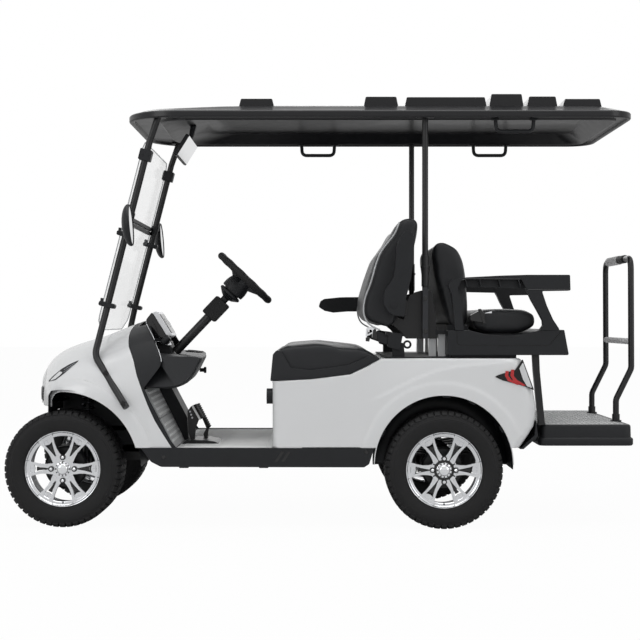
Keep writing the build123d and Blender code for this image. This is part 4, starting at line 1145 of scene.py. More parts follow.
# %% [markdown]
# The lamps. A tail lamp is a black bezel in the body's corner with two red light guides, bent
# like an arrowhead, and a pale reflector. A head lamp is a slit under the hood's crease: a
# black mask that follows the cowl, with a bright lens and two thin light guides on it.

# %% Lamps
TAIL_LAMP = mm([(738, 664, 6), (756, 672, 10), (828, 694, 6), (861, 739.5, 2), (911.5, 604, 3), (876, 619, 10),
    (772, 648, 10)])


def make_red_guides():
    parts = []
    for shift in (0.0, 0.024):
        line = [(0.786 + shift, 0.689 + shift * 0.25), (0.8 + shift, 0.6885 + shift * 0.25),
            (0.798 + shift, 0.668), (0.812 + shift, 0.65), (0.852 + shift, 0.631 - shift * 0.2),
            (0.838 + shift, 0.628 - shift * 0.2), (0.796 + shift, 0.645), (0.783 + shift, 0.668)]
        parts.append(blank(line, 0.002, 2, -HALF - 0.005, -HALF - 0.002))
    return merge(parts)


def make_rear_reflector():
    line = mm([(846, 700), (862, 727), (902, 614), (880, 622), (862, 652)])
    return blank(line, 0.003, 3, -HALF - 0.0046, -HALF - 0.002)


piece("tail_lamp_bezels", both(blank(TAIL_LAMP, 0.004, 4, -HALF - 0.0035, -HALF + 0.012)), GLOSS_BLACK,
    ["tail_lights"], bevel=0.001)
piece("tail_lamp_guides", both(make_red_guides()), RED_LENS, bevel=0.0006)
piece("tail_lamp_reflectors", both(make_rear_reflector()), LAMP_SILVER, bevel=0.0006)


def head_lamp_patch(low, high, out):
    """A strip on the cowl's side between two lines of (x, z), standing out by a little."""
    rows = []
    for i in range(29):
        x = low[0][0] + (low[-1][0] - low[0][0]) * i / 28
        a, b = lookup(low, x), lookup(high, x)
        rows.append([Vector((x, -section_y(x, min(a + (b - a) * k / 6, 0.99)) - out, a + (b - a) * k / 6))
            for k in range(7)])
    return skin(rows)


MASK_LOW = mm([(-1235.7, 636), (-1215, 640), (-1191.5, 646.5), (-1157.6, 671.6), (-1126, 700), (-1096.4, 728)])
MASK_HIGH = mm([(-1235.7, 641), (-1208.5, 664.5), (-1171, 694), (-1137, 714.5), (-1120, 722), (-1096.4, 732)])
GLASS_LOW = mm([(-1222, 641), (-1195, 650), (-1176, 664), (-1164, 676.5)])
GLASS_HIGH = mm([(-1222, 644), (-1200, 664.5), (-1178, 683), (-1164, 680.5)])
masks = both(head_lamp_patch(MASK_LOW, MASK_HIGH, 0.0018))
piece("head_lamp_masks", masks, BLACK_PLASTIC, ["headlights"])
piece("head_lamp_glasses", both(head_lamp_patch(GLASS_LOW, GLASS_HIGH, 0.0032)), LAMP_SILVER)
LAMP_GUIDES = [[(-1.157, 0.69), (-1.135, 0.7045), (-1.112, 0.719)], [(-1.157, 0.68), (-1.138, 0.693),
    (-1.118, 0.709)]]
guides = [tube([Vector((x, -section_y(x, z) - 0.0022, z)) for x, z in line], 0.0011, 6) for line in LAMP_GUIDES]
piece("head_lamp_guides", both(merge(guides)), ZINC)
print("lamps done")

# %% [markdown]
# The roof is a moulded tray turned upside down. Rings of one plan, each a little wider or
# narrower than the last, run from its ceiling out over the gutter and the rim to its top.
# Six raised ribs lie across it. The struts are bent tubes with bolted clamps.

# %% Roof
ROOF_ROWS = mm([       # mm: z, front x, rear x, half width, front and rear corner radius
    (1854, -560, 1230, 405, 130, 70), (1848, -585, 1240, 411, 136, 72),
    (1812, -715, 1286, 428, 150, 72), (1803, -735, 1296, 436, 156, 76),
    (1800, -742, 1301, 442, 160, 80), (1803, -748, 1306, 448, 165, 84),
    (1813, -752, 1309, 452, 168, 86), (1816.5, -785, 1322, 474, 190, 92),
    (1815, -860, 1348, 500, 214, 104), (1804.5, -868, 1352, 508, 222, 110),
    (1801.5, -878, 1357, 513, 228, 114), (1803, -886, 1362, 518, 232, 118),
    (1808, -890, 1366, 522, 235, 120), (1828, -890, 1366, 522, 235, 120),
    (1833, -886, 1362, 518, 233, 118), (1837, -872, 1350, 504, 226, 112),
    (1848, -850, 1322, 470, 205, 100), (1860, -620, 1286, 446, 180, 100),
    (1866, -420, 1250, 425, 160, 100),
])
RIB_FOOT = 1.862
ROOF_RIBS = mm([       # mm: front x, rear x, top z
    (-387, -227, 1902), (172, 329, 1911), (356, 725, 1909), (735, 890, 1923),
    (904, 1042, 1912), (1064, 1240, 1901),
])


def true_arcs(row):
    """A ring whose corners are quarter circles."""
    z, front, rear, half, front_r, rear_r = row
    ring = []
    for x, y, r, start in ((front, -half, front_r, 180), (rear, -half, rear_r, 270), (rear, half, rear_r, 0),
            (front, half, front_r, 90)):
        centre = (x + (r if x == front else -r), y + (r if y < 0 else -r))
        ring += [Vector((u, v, z)) for u, v in arc_points(centre, r, start, start + 90, 14)]
    return ring


def make_roof():
    tray = skin([true_arcs(row) for row in ROOF_ROWS], closed=True, caps=True)
    ribs = []
    for front, rear, top in ROOF_RIBS:
        line = [(front, RIB_FOOT, 0), (front + 0.01, top, 0.006), (rear - 0.01, top, 0.006),
            (rear, RIB_FOOT, 0)]
        ribs.append(blank(line, 0.01, 3, -0.4, 0.4))
    return merge([tray] + ribs)


piece("roof_skin", make_roof(), ROOF_BLACK, ["roof"], sharp=30, bevel=0.0022)


def make_handles():
    """Looped hand grips under the roof's edge, with their feet."""
    parts = []
    for front, rear, side in ((0.756, 0.927, -1), (0.757, 0.925, 1), (-0.117, 0.052, 1)):
        y = side * 0.45
        line = [(front, y, 1.815), (front + 0.004, y, 1.749), (rear - 0.004, y, 1.749), (rear, y, 1.815)]
        parts.append(tube(smooth_path(line, 0.026), 0.0085, 14))
        for x in (front, rear):
            parts.append(blank([(x - 0.017, 1.7975), (x + 0.017, 1.7975), (x + 0.014, 1.808),
                (x - 0.014, 1.808)], 0.003, 2, y - 0.014, y + 0.014))
    return merge(parts)


piece("hand_grips", make_handles(), BLACK_PLASTIC, ["roof_handles"], bevel=0.001)
print("roof done")

# %% [markdown]
# The struts, with what is clamped to them. A front strut comes out of the cowl's side, bends
# twice and leans back to the roof. The pane sits between clamps on both front struts.

# %% Struts and clamps
STRUT_Y = -0.452
REAR_STRUT_X = 0.444
LEAN_RISE, LEAN_RUN = 0.664, 0.17           # how far a front strut leans back as it rises


def strut_x(z):
    """The front strut's middle at a height."""
    return -0.965 + (z - 0.978) / LEAN_RISE * LEAN_RUN


def bolt_head(x, z, y, radius):
    """A washer and a six-sided head that face out to the left."""
    return merge([rod(x, z, y, y - 0.0018, radius * 1.35, 20), rod(x, z, y, y - 0.006, radius, 6)])


def make_front_strut():
    line = [(-0.864, -0.582, 0.53), (-1.018, -0.482, 0.755), (-0.965, STRUT_Y, 0.978),
        (strut_x(1.7), STRUT_Y, 1.7), (-0.738, STRUT_Y, 1.821)]
    return tube(smooth_path(line, 0.075, 10), 0.015, 20)


def make_strut_feet():
    foot = rod(-0.872, 0.541, -0.56, -0.59, 0.01, 20)
    plate = blank(rect(-0.776, 1.806, -0.706, 1.812), 0.002, 2, -0.474, -0.43)
    return merge([foot, plate])


def make_rear_strut():
    tube_part = cylinder((REAR_STRUT_X, STRUT_Y, 0.829), (REAR_STRUT_X, STRUT_Y, 1.818), 0.0135, 20)
    sleeve = cylinder((REAR_STRUT_X, STRUT_Y, 1.06), (REAR_STRUT_X, STRUT_Y, 1.196), 0.0165, 20)
    collar = cylinder((REAR_STRUT_X, STRUT_Y, 1.14), (REAR_STRUT_X, STRUT_Y, 1.15), 0.02, 20)
    plate = blank(rect(0.404, 1.806, 0.484, 1.811), 0.002, 2, -0.474, -0.43)
    return merge([tube_part, sleeve, collar, plate])


piece("front_strut_tubes", both(merge([make_front_strut(), make_strut_feet()])), POWDER_BLACK, ["front_struts"],
    bevel=0.0012)
piece("rear_strut_tubes", both(make_rear_strut()), POWDER_BLACK, ["rear_struts"], bevel=0.0012)
foot_bolts = [bolt_head(-0.877, 0.549, -0.5945, 0.0085), bolt_head(-0.959, 0.68, -0.5425, 0.0085)]
piece("strut_foot_bolts", both(merge(foot_bolts)), GLOSS_BLACK, bevel=0.0006)
straps = blank(rect(0.4315, 0.829, 0.4565, 1.055), 0.004, 3, -0.47, -0.464)
strap_bolts = [bolt_head(REAR_STRUT_X, z, -0.47, 0.0075) for z in (1.0065, 0.8605)]
piece("strut_straps", both(straps), STRAP_GREY, bevel=0.0012)
piece("strap_bolts", both(merge(strap_bolts)), GLOSS_BLACK, bevel=0.0006)


def lean(z):
    """Turns a block at a height so that it leans with the strut."""
    place = Vector((strut_x(z), 0, z))
    turn = Matrix.Rotation(math.atan2(LEAN_RUN, LEAN_RISE), 4, "Y")
    return Matrix.Translation(place) @ turn


def make_clamps():
    """Straps round the struts that hold the pane, and the block over the upper ones."""
    parts = []
    for z, tall in ((0.978, 0.0215), (1.29, 0.0215), (1.642, 0.05)):
        reach = 0.0355 if tall < 0.03 else 0.026
        line = rect(-reach - 0.003, -tall / 2, reach, tall / 2)
        strap = blank(line, tall * 0.48 if tall < 0.03 else 0.006, 5, -0.476, -0.429)
        parts.append(moved(strap, lean(z)))
        for x in (-0.03, 0.026) if tall < 0.03 else (-0.014, 0.012):
            parts.append(moved(rod(x, 0, -0.4785, -0.4755, 0.0045, 12), lean(z)))
    for z in (0.978, 1.29):
        parts.append(moved(cylinder((-0.029, STRUT_Y, 0.008), (-0.031, STRUT_Y, 0.024), 0.008, 14), lean(z)))
    return merge(parts)


piece("pane_clamps", both(make_clamps()), BLACK_PLASTIC, ["strut_clamps"], bevel=0.002)
print("struts done")

# %% [markdown]
# The windshield is two flat acrylic panes that lean with the struts. Each is cut as a flat
# outline of (y, z) and then laid on the slope. The upper one folds forward at two hinges.

# %% Windshield
PANE_AHEAD = 0.022
FOLD_Z = 1.361


def on_slope(bm):
    """Leans a flat piece with the struts, a little ahead of them."""
    for v in bm.verts:
        v.co.x += strut_x(v.co.z) - PANE_AHEAD
    return bm


def pane(outline):
    return on_slope(blank(outline, 0.018, 6, -0.0025, 0.0025, "YZ"))


def pane_edge(outline):
    """Rubber bead round a pane."""
    ring = [Vector((0, p.x, p.y)) for p in rounded(outline, 0.018, 6)]
    return on_slope(tube(ring, 0.0026, 8, closed=True))


LOWER_PANE = mm([(-330, 866, 40), (330, 866, 40), (466, 915, 40), (466, 1358.5), (-466, 1358.5),
    (-466, 915, 40)])
UPPER_PANE = mm([(-466, 1364), (466, 1364), (466, 1668, 30), (425, 1704, 30), (-425, 1704, 30),
    (-466, 1668, 30)])


def make_bar(low, high):
    outline = rect(-0.47, low, 0.47, high)
    return on_slope(blank(outline, 0.002, 2, -0.0065, 0.0065, "YZ"))


def hinge_parts(lower):
    """Pins and ears of the lower pane, or the eyes of the upper one."""
    x = strut_x(FOLD_Z) - PANE_AHEAD - 0.012
    if lower:
        pin = rod(x, FOLD_Z, 0.285, 0.335, 0.003, 12)
        ear = slab([(x - 0.003, 1.35), (x - 0.003, 1.364), (x + 0.003, 1.364), (x + 0.003, 1.357),
            (x + 0.007, 1.357), (x + 0.007, 1.346), (x + 0.002, 1.346)], 0.32, 0.335)
        return both(merge([pin, ear]))
    eye = tube([(x, 0.288, FOLD_Z), (x, 0.318, FOLD_Z)], 0.006, 18)
    arm = box_mesh((x - 0.004, 0.288, FOLD_Z + 0.004), (x + 0.011, 0.318, FOLD_Z + 0.017))
    return both(merge([eye, arm]))


piece("lower_pane", pane(LOWER_PANE), PANE, ["windshield_lower"])
piece("lower_pane_edge", pane_edge(LOWER_PANE), PANE_EDGE)
piece("lower_pane_bar", merge([make_bar(1.343, 1.358), hinge_parts(True)]), BLACK_PLASTIC,
    bevel=0.0008)
piece("upper_pane", pane(UPPER_PANE), PANE, ["windshield_upper"], body="windshield_top")
piece("upper_pane_edge", pane_edge(UPPER_PANE), PANE_EDGE, body="windshield_top")
piece("upper_pane_bar", merge([make_bar(1.364, 1.379), hinge_parts(False)]), BLACK_PLASTIC,
    bevel=0.0008, body="windshield_top")

# %% [markdown]
# The mirrors. A door mirror is a domed shell round an oval glass. Its dome is a stack of
# ellipses that shrink along a quarter circle.

# %% Mirrors
def mirror_dome():
    rows = []
    for i in range(11):
        a = math.radians(9 * i)
        wide, depth = max(math.cos(a), 0.02), math.sin(a)
        rows.append(circle(lambda c, s: (0.012 - 0.034 * depth, 0.072 * wide * c, 0.092 * wide * s), 48))
    rim = circle(lambda c, s: (0.02, 0.069 * c, 0.089 * s), 48)
    inner = [Vector((0.02, p.y * 0.95, p.z * 0.96)) for p in rim]
    sunk = [Vector((0.016, p.y, p.z)) for p in inner]
    return skin([sunk, inner, rim] + rows, closed=True, caps=True)


def mirror_glass():
    ring = circle(lambda c, s: (0.0172, 0.065 * c, 0.0845 * s), 48)
    back = [p - Vector((0.001, 0, 0)) for p in ring]
    return skin([back, ring], closed=True, caps=True)


MIRROR_PLACE = Matrix.Translation((-0.861, -0.585, 1.322)) @ Matrix.Rotation(-0.08, 4, "Y")
stalk = [(strut_x(1.369), STRUT_Y, 1.369), (-0.86, -0.52, 1.3705), (-0.857, -0.585, 1.366)]
sleeve = moved(cylinder((0, STRUT_Y, -0.02), (0, STRUT_Y, 0.02), 0.0185, 20), lean(1.369))
shells = merge([moved(mirror_dome(), MIRROR_PLACE), tube(smooth_path(stalk, 0.03), 0.009, 14), sleeve])
piece("door_mirror_shells", both(shells), BLACK_PLASTIC, ["mirrors"], bevel=0.0015)
piece("door_mirror_glass", both(moved(mirror_glass(), MIRROR_PLACE)), MIRROR_GLASS)

INNER_MIRROR = mm([(-700, 1678), (-640, 1772), (-624, 1764), (-684, 1670)])
inner = blank(INNER_MIRROR, 0.006, 4, -0.215, 0.215)
stem = slab(mm([(-650, 1758), (-640, 1832), (-612, 1840), (-634, 1758)]), -0.016, 0.016)
piece("inner_mirror_shell", merge([inner, stem]), BLACK_PLASTIC, bevel=0.003)
glass_line = mm([(-680.5, 1676.5), (-627, 1762.5), (-625.5, 1761.5), (-679, 1675.5)])
piece("inner_mirror_glass", slab(glass_line, -0.209, 0.209), MIRROR_GLASS)
print("windshield and mirrors done")

# %% [markdown]
# The seats. A cushion starts as a slab a little smaller than it will be, cut from its side
# view. It is remeshed, blown up by cloth pressure, and kept within a few millimetres of where
# it began, so it crowns between its edges. Piping on the front backrest follows afterwards,
# because it is finer than the remeshed grid.

# %% Upholstery
def inset(outline, amount):
    """An outline of (x, z) drawn in towards its inside by an amount."""
    points = [Vector(p[:2]) for p in outline]
    area = sum(a.x * b.y - b.x * a.y for a, b in zip(points, points[1:] + points[:1]))
    side = 1 if area > 0 else -1
    made = []
    for i, p in enumerate(points):
        into = (p - points[i - 1]).normalized()
        out = (points[(i + 1) % len(points)] - p).normalized()
        normal = Vector((-(into + out).y, (into + out).x)).normalized() * side
        made.append(p + normal * amount / max(normal.dot(Vector((-into.y, into.x)) * side), 0.35))
    return made


def remeshed(obj, size):
    tool = obj.modifiers.new("voxels", "REMESH")
    tool.mode = "VOXEL"
    tool.voxel_size = size
    tool.use_smooth_shade = True
    apply_all(obj)


def apply_all(obj):
    """Bakes an object's modifiers into its mesh."""
    scene_view = bpy.context.evaluated_depsgraph_get()
    mesh = bpy.data.meshes.new_from_object(obj.evaluated_get(scene_view))
    obj.modifiers.clear()
    old = obj.data
    obj.data = mesh
    bpy.data.meshes.remove(old)


VOXEL, PRESSURE, FRAMES, FILL = 0.012, 4.0, 20, 0.9


def swell(obj, cap):
    """Cloth pressure, applied to the mesh, with each point's move capped."""
    before = [v.co.copy() for v in obj.data.vertices]
    cloth = obj.modifiers.new("cloth", "CLOTH")
    cloth.settings.use_pressure = True
    cloth.settings.uniform_pressure_force = PRESSURE
    cloth.settings.effector_weights.gravity = 0.0
    cloth.settings.tension_stiffness = 30.0
    cloth.settings.bending_stiffness = 2.0
    cloth.point_cache.frame_end = FRAMES
    for frame_number in range(1, FRAMES + 1):
        bpy.context.scene.frame_set(frame_number)
    apply_all(obj)
    bpy.context.scene.frame_set(1)
    for v, start in zip(obj.data.vertices, before):
        move = v.co - start
        if move.length > cap:
            v.co = start + move.normalized() * cap


def smoothed(obj, times):
    tool = obj.modifiers.new("smooth", "SMOOTH")
    tool.factor = 0.5
    tool.iterations = times


def cushion(name, outline, half, body, node, cap, radius, smaller=0.009):
    """A padded block with this side view and half width."""
    start = rounded([(p.x, p.y) for p in inset(outline, smaller)], radius, 6)
    obj = added(name, slab(start, smaller - half, half - smaller))
    remeshed(obj, VOXEL)
    smoothed(obj, 6)
    apply_all(obj)
    swell(obj, cap)
    smoothed(obj, 3)
    fine = obj.modifiers.new("fine", "SUBSURF")
    fine.levels = fine.render_levels = 1
    apply_all(obj)
    obj.data.materials.clear()
    obj.data.materials.append(VINYL)
    obj.data.shade_smooth()
    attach(obj, body)
    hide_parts(node)
    print(name, len(obj.data.polygons), "faces")


FRONT_CUSHION = mm([(-242, 643), (-229, 780), (-190, 799), (-36, 811), (173, 788), (228, 766), (242, 748),
    (242, 739), (110, 673), (-57, 652), (-232, 643)])
FRONT_BACK = mm([(160, 933), (167, 1010), (195, 1105), (229, 1201), (291, 1287), (322, 1354), (358, 1376),
    (405, 1372), (423, 1344), (398, 1240), (350, 1043), (312, 880), (277, 862), (181, 895)])
REAR_BACK = mm([(470, 1262), (528, 1276), (593, 1242), (618, 1180), (631, 1112), (641, 970), (641, 866),
    (552, 866), (508, 1043), (492, 1100)])
REAR_CUSHION = mm([(640.6, 933), (660, 953), (700, 959), (787.6, 961), (889, 958), (930, 945), (944.8, 919),
    (940, 876), (863.7, 851), (787.6, 844), (711.6, 851), (650.8, 870)])
cushion("front_cushion_vinyl", FRONT_CUSHION, 0.518, "front_seat_lid", "front_seat_cushion", radius=0.022,
    cap=0.009)
cushion("front_back_vinyl", FRONT_BACK, 0.498, "chassis", "front_seat_back", radius=0.028, cap=0.01)
cushion("rear_back_vinyl", REAR_BACK, 0.435, "chassis", "rear_seat_back", radius=0.03, cap=0.009)
cushion("rear_cushion_vinyl", REAR_CUSHION, 0.482, "rear_seat_lid", "rear_seat_cushion", radius=0.02, cap=0.008,
    smaller=0.008)

PIPING_LINE = mm([(244, 868), (226, 875), (189, 900), (172, 945), (178, 1007), (203, 1075), (243, 1201),
    (304, 1285), (330, 1343)])
welt = tube(curve_through([Vector((x - 0.002, -0.488, z)) for x, z in PIPING_LINE], 60), 0.0036, 8)
piece("back_piping", both(welt), PIPING)

CUSHION_BASE = mm([(-241.5, 642.5), (-57, 651.5), (110, 672.5), (240, 738), (235, 748), (200, 755), (100, 712),
    (-60, 690), (-150, 700), (-195, 775), (-214, 778, 12), (-230, 760, 12)])
piece("cushion_base", blank(CUSHION_BASE, 0.005, 3, -0.515, 0.515), VINYL, bevel=0.003, body="front_seat_lid")
print("cushions done")

# %% [markdown]
# The dash is a lofted shelf. One side view is carried across the cart, and its rear edge bows
# towards the passenger's side. Rims and floors show the two cup holders in its top. The
# instrument pod, a bright alloy plate on its face, the key switch and a small knob are fixed
# to it. The bright plate is painted highlight: the strip of light on the pod's face seen edge-on.

# %% Dash shelf
DASH_SECTION = mm([(-846, 645), (-846, 872), (-832, 876), (-812, 858), (-785, 806), (-768, 775), (-748, 762),
    (-700, 758.5), (-655, 756), (-600, 753), (-551, 749), (-543, 744), (-546, 734), (-569, 688), (-592, 652),
    (-626, 624), (-655, 613), (-692, 609), (-760, 609), (-820, 612)])
DASH_EDGE = mm([(-527, -541), (-300, -545), (-100, -556), (0, -565), (190, -582), (300, -591), (360, -596),
    (450, -604), (527, -612)])


DASH_HALF = 0.526
CUP_X, CUP_YS = -0.642, (0.3, 0.19)


def make_dash():
    rows = []
    for i in range(49):
        y = DASH_HALF * (i - 24) / 24
        pull = lookup(DASH_EDGE, y, soft=True) + 0.543
        rounding = 0.01 * (1 - ease(0, 0.03, DASH_HALF - abs(y)))
        ring = []
        for x, z in rounded(DASH_SECTION, 0.01, 3):
            middle = Vector((-0.72, 0.72))
            toward = (middle - Vector((x, z))).normalized() * rounding
            narrow = 1 - 0.42 * ease(0.745, 0.88, z)
            ring.append(Vector((x + pull * ease(-0.74, -0.6, x) + toward.x, y * narrow, z + toward.y)))
        rows.append(ring)
    return skin(rows, closed=True, caps=True)


def make_cup_wells():
    """Rims of the two cup holders, standing a little above the shelf."""
    parts = []
    for y in CUP_YS:
        ring = circle(lambda c, s: (CUP_X + 0.038 * c, y + 0.038 * s, 0.7562 - 0.004 * c), 40)
        parts.append(tube(ring, 0.003, 8, closed=True))
    return merge(parts)


def make_cup_floors():
    return merge([cylinder((CUP_X, y, 0.752), (CUP_X, y, 0.7566), 0.0365, 40) for y in CUP_YS])


piece("dash_shelf", make_dash(), BLACK_PLASTIC, ["dash"], sharp=32)
piece("cup_rims", make_cup_wells(), BLACK_PLASTIC)
piece("cup_floors", make_cup_floors(), SOFT_BLACK)

POD = mm([(-783, 947, 6), (-808.7, 913.8, 12), (-808.7, 881, 10), (-775, 835, 10), (-710.6, 829, 4)])
# The bright alloy plate on the pod's face is painted highlight, cut to the outline of the bright strip that the
# face shows edge-on.
POD_HIGHLIGHT = mm([(-781, 946.5), (-756, 950), (-688, 840), (-710.6, 828)])
piece("display_pod", blank(POD, 0.01, 5, -0.338, -0.162), GLOSS_BLACK, bevel=0.006, segments=4)
piece("display_face_highlight", blank(POD_HIGHLIGHT, 0.006, 4, -0.341, -0.159), ALLOY, bevel=0.003, segments=3)


def display_place():
    """From flat (x across, y up) to the face that looks at the driver."""
    low, high = Vector((-0.688, 0, 0.84)), Vector((-0.756, 0, 0.95))
    up = (high - low).normalized()
    out = Vector((up.z, 0, -up.x))
    across = Vector((0, 1, 0))
    place = Matrix((across, up, out)).transposed().to_4x4()
    place.translation = (low + high) / 2 + Vector((0, -0.25, 0)) + out * 0.0002
    return place


screen = blank(rect(-0.076, -0.05, 0.076, 0.05), 0.008, 4, 0, 0.002, "XY")
piece("display_screen", moved(screen, display_place()), GLOSS_BLACK)
ticks = []
for i in range(9):
    a = math.radians(210 - 30 * i)
    centre, out = Vector((-0.028, -0.004, 0.0021)), Vector((math.cos(a), math.sin(a), 0))
    ticks.append(cylinder(centre + out * 0.026, centre + out * 0.032, 0.001, 6))
ticks.append(cylinder((-0.028, -0.004, 0.0021), (-0.01, 0.014, 0.0021), 0.0011, 6))
for i in range(5):
    ticks.append(box_mesh((0.03 + 0.007 * i, -0.02, 0.0012), (0.035 + 0.007 * i, -0.01 + 0.006 * i, 0.0026)))
piece("display_marks", moved(merge(ticks), display_place()), LAMP_SILVER)


def make_pod_bracket():
    """The bright cradle under the pod."""
    line = mm([(-786, 803), (-783, 812), (-742, 815), (-716, 826), (-700, 812), (-693, 797), (-712, 797),
        (-750, 803)])
    return blank(line, 0.003, 3, -0.345, -0.331)


foot = slab(mm([(-800, 755), (-800, 850), (-705, 812), (-690, 755)]), -0.33, -0.17)
piece("pod_foot", foot, BLACK_PLASTIC, bevel=0.004)
piece("pod_bracket", make_pod_bracket(), CHROME, bevel=0.002)
piece("key_switch", cylinder((-0.73, -0.392, 0.808), (-0.698, -0.392, 0.834), 0.016, 28), BLACK_PLASTIC,
    bevel=0.002)
trim_line = mm([(-611.5, 500, 737), (-618, 500, 722), (-643, 500, 676), (-702, 500, 600)])
strip = tube(smooth_path(trim_line, 0.02, 5), 0.0035, 8)
piece("dash_trim", strip, CHROME)
piece("dash_knob", merge([cylinder((-0.64, 0.497, 0.655), (-0.616, 0.497, 0.655), 0.01, 20),
    cylinder((-0.618, 0.497, 0.655), (-0.606, 0.497, 0.655), 0.016, 24)]), BLACK_PLASTIC, bevel=0.0015)
print("dash done")

# %% [markdown]
# Everything on the steering axis is turned about it. The wheel is built flat, facing up, and
# then laid back on its slope: a padded rim with finger bulges, three spokes, and a deep boss.
# The shroud and column below it stay with the chassis.

# %% Steering
WHEEL_MIDDLE = Vector((-0.367, -0.25, 1.104))
COLUMN_SLOPE = math.radians(46.4)
GRIP_RADIUS = 0.1475
AXIS_UP = Vector((math.cos(COLUMN_SLOPE), 0, math.sin(COLUMN_SLOPE)))
WHEEL_TURN = Matrix((Vector((AXIS_UP.z, 0, -AXIS_UP.x)), AXIS_UP, Vector((0, -1, 0)))).transposed().to_4x4()
WHEEL_PLACE = Matrix.Translation(WHEEL_MIDDLE) @ WHEEL_TURN


def make_rim():
    count = 96
    ring = circle(lambda c, s: (GRIP_RADIUS * c, 0, GRIP_RADIUS * s), count)
    radii = [0.0157 - 0.0009 * math.cos(24 * math.pi * i / count) for i in range(count)]
    return tube(ring, radii, 18, closed=True)


def make_spokes():
    spokes = []
    for angle in (0, 118, 242):
        line = mm([(30, -34), (52, -36), (100, -16), (142, -4), (142, 5), (100, -4), (50, -14), (30, -14)])
        blade = slab(line, -0.019, 0.019, "XY")
        spokes.append(moved(blade, Matrix.Rotation(math.radians(angle), 4, "Y")))
    return merge(spokes)


BOSS = mm([(0.5, -4), (36, -6), (46, -14), (48, -25), (54, -45), (56.5, -62), (56, -82), (53.5, -87), (48, -87),
    (48, -68), (0.5, -68)])
SHROUD = mm([(0.5, -74), (40, -74), (40, -92), (50, -92), (55, -96), (54.5, -104), (30, -122), (20, -126),
    (17.5, -130), (17.5, -150), (0.5, -150)])
piece("wheel_rim", moved(make_rim(), WHEEL_PLACE), SOFT_BLACK, ["steering_wheel"], body="steering")
piece("wheel_spokes", moved(make_spokes(), WHEEL_PLACE), BLACK_PLASTIC, bevel=0.004, segments=3,
    body="steering")
piece("wheel_boss", moved(turned(BOSS, 56), WHEEL_PLACE), BLACK_PLASTIC, sharp=30, body="steering")
piece("column_shroud", moved(turned(SHROUD, 48), WHEEL_PLACE), BLACK_PLASTIC, sharp=30)
cover = blank(rect(-0.036, -0.244, 0.04, -0.145), 0.01, 4, -0.04, 0.04, "XY")
piece("column_cover", moved(cover, WHEEL_PLACE), SOFT_BLACK, bevel=0.005, segments=3)
column = rod(0.003, 0, -0.24, -0.466, 0.021, 32)
piece("column_tube", moved(column, WHEEL_PLACE), POWDER_BLACK, ["steering_column"])
print("steering done")

# %% [markdown]
# The chequer plates carry real raised lozenges, laid out in rows that lean left and right in
# turn, so they catch the light from any side. Each plate is built flat and then laid in place.

# %% Chequer plates
def lozenges(width, height, pitch, keep=None):
    """Small raised diamonds on the XY plane, over a width by height rectangle."""
    bm = bmesh.new()
    for row in range(int(height / pitch)):
        for col in range(int(width / pitch)):
            x, y = (col + 0.5) * pitch - width / 2, (row + 0.5) * pitch - height / 2
            if keep and not keep(x, y):
                continue
            a = math.radians(45 if (row + col) % 2 else -45)
            long, wide = Vector((math.cos(a), math.sin(a), 0)), Vector((-math.sin(a), math.cos(a), 0))
            steps = [long * 0.4, wide * 0.13, long * -0.4, wide * -0.13, long * 0.2, long * -0.2]
            points = [Vector((x, y, 0)) + step * pitch for step in steps]
            for peak in points[4:]:
                peak.z = 0.0022
            verts = [bm.verts.new(p) for p in points]
            for corners in ((0, 1, 4), (1, 2, 5), (2, 3, 5), (3, 0, 4), (1, 5, 4), (3, 4, 5)):
                bm.faces.new([verts[k] for k in corners])
    return bm


def laid(start, end, y=0.0):
    """From a flat plate to one whose length runs from start to end in side view, (x, z)."""
    along = Vector((end[0] - start[0], 0, end[1] - start[1])).normalized()
    across = Vector((0, -1, 0))
    out = across.cross(along)
    if out.z < 0:
        across, out = -across, -out
    place = Matrix((across, along, out)).transposed().to_4x4()
    place.translation = Vector(((start[0] + end[0]) / 2, y, (start[1] + end[1]) / 2))
    return place


TOE_HIGH, TOE_LOW = (-0.7875, 0.608), (-0.658, 0.348)
TOE_LENGTH = math.dist(TOE_HIGH, TOE_LOW)
plates = []
for low, high in ((-TOE_LENGTH / 2, -0.003), (0.0, TOE_LENGTH / 2)):
    plates.append(blank(rect(-0.52, low, 0.52, high), 0.006, 2, -0.01, 0.0, "XY"))
piece("toe_plates", moved(merge(plates), laid(TOE_HIGH, TOE_LOW)), PLATE_GREY, ["toe_board"])
studs = lozenges(1.02, TOE_LENGTH - 0.02, 0.026, lambda x, y: abs(x) > 0.105 and abs(y + 0.0015) > 0.012)
piece("toe_studs", moved(studs, laid(TOE_HIGH, TOE_LOW)), MAT_GREY)


def make_floor_mat():
    """The floor's rubber mat, with long ribs."""
    mat = [blank(rect(-0.655, -0.526, -0.236, 0.526), 0.012, 4, 0.3335, 0.348, "XY")]
    for i in range(40):
        y = -0.507 + 0.026 * i
        mat.append(box_mesh((-0.63, y - 0.0045, 0.348), (-0.262, y + 0.0045, 0.3505)))
    return merge(mat)


piece("floor_mat", make_floor_mat(), MAT_PALE, ["floor_pan"], bevel=0.0008, segments=1)
print("floor done")

# %% [markdown]
# The pedals stand on the floor. The brake has a broad drilled arm and a ribbed pad, and the
# accelerator a long ribbed pad that leans back.

# %% Pedals
def make_brake():
    arm = mm([(-611, 519), (-629, 494), (-627, 442), (-625, 400), (-610, 351), (-596, 351), (-590, 419),
        (-576, 456), (-597, 512)])
    return merge([blank(arm, 0.006, 3, -0.269, -0.263), rod(-0.6035, 0.36, -0.3, -0.23, 0.009, 16)])


def make_drillings():
    spots = [(-0.617, 0.492), (-0.612, 0.478), (-0.607, 0.464)]
    return merge([rod(x, z, -0.27, -0.262, 0.0042, 14) for x, z in spots])


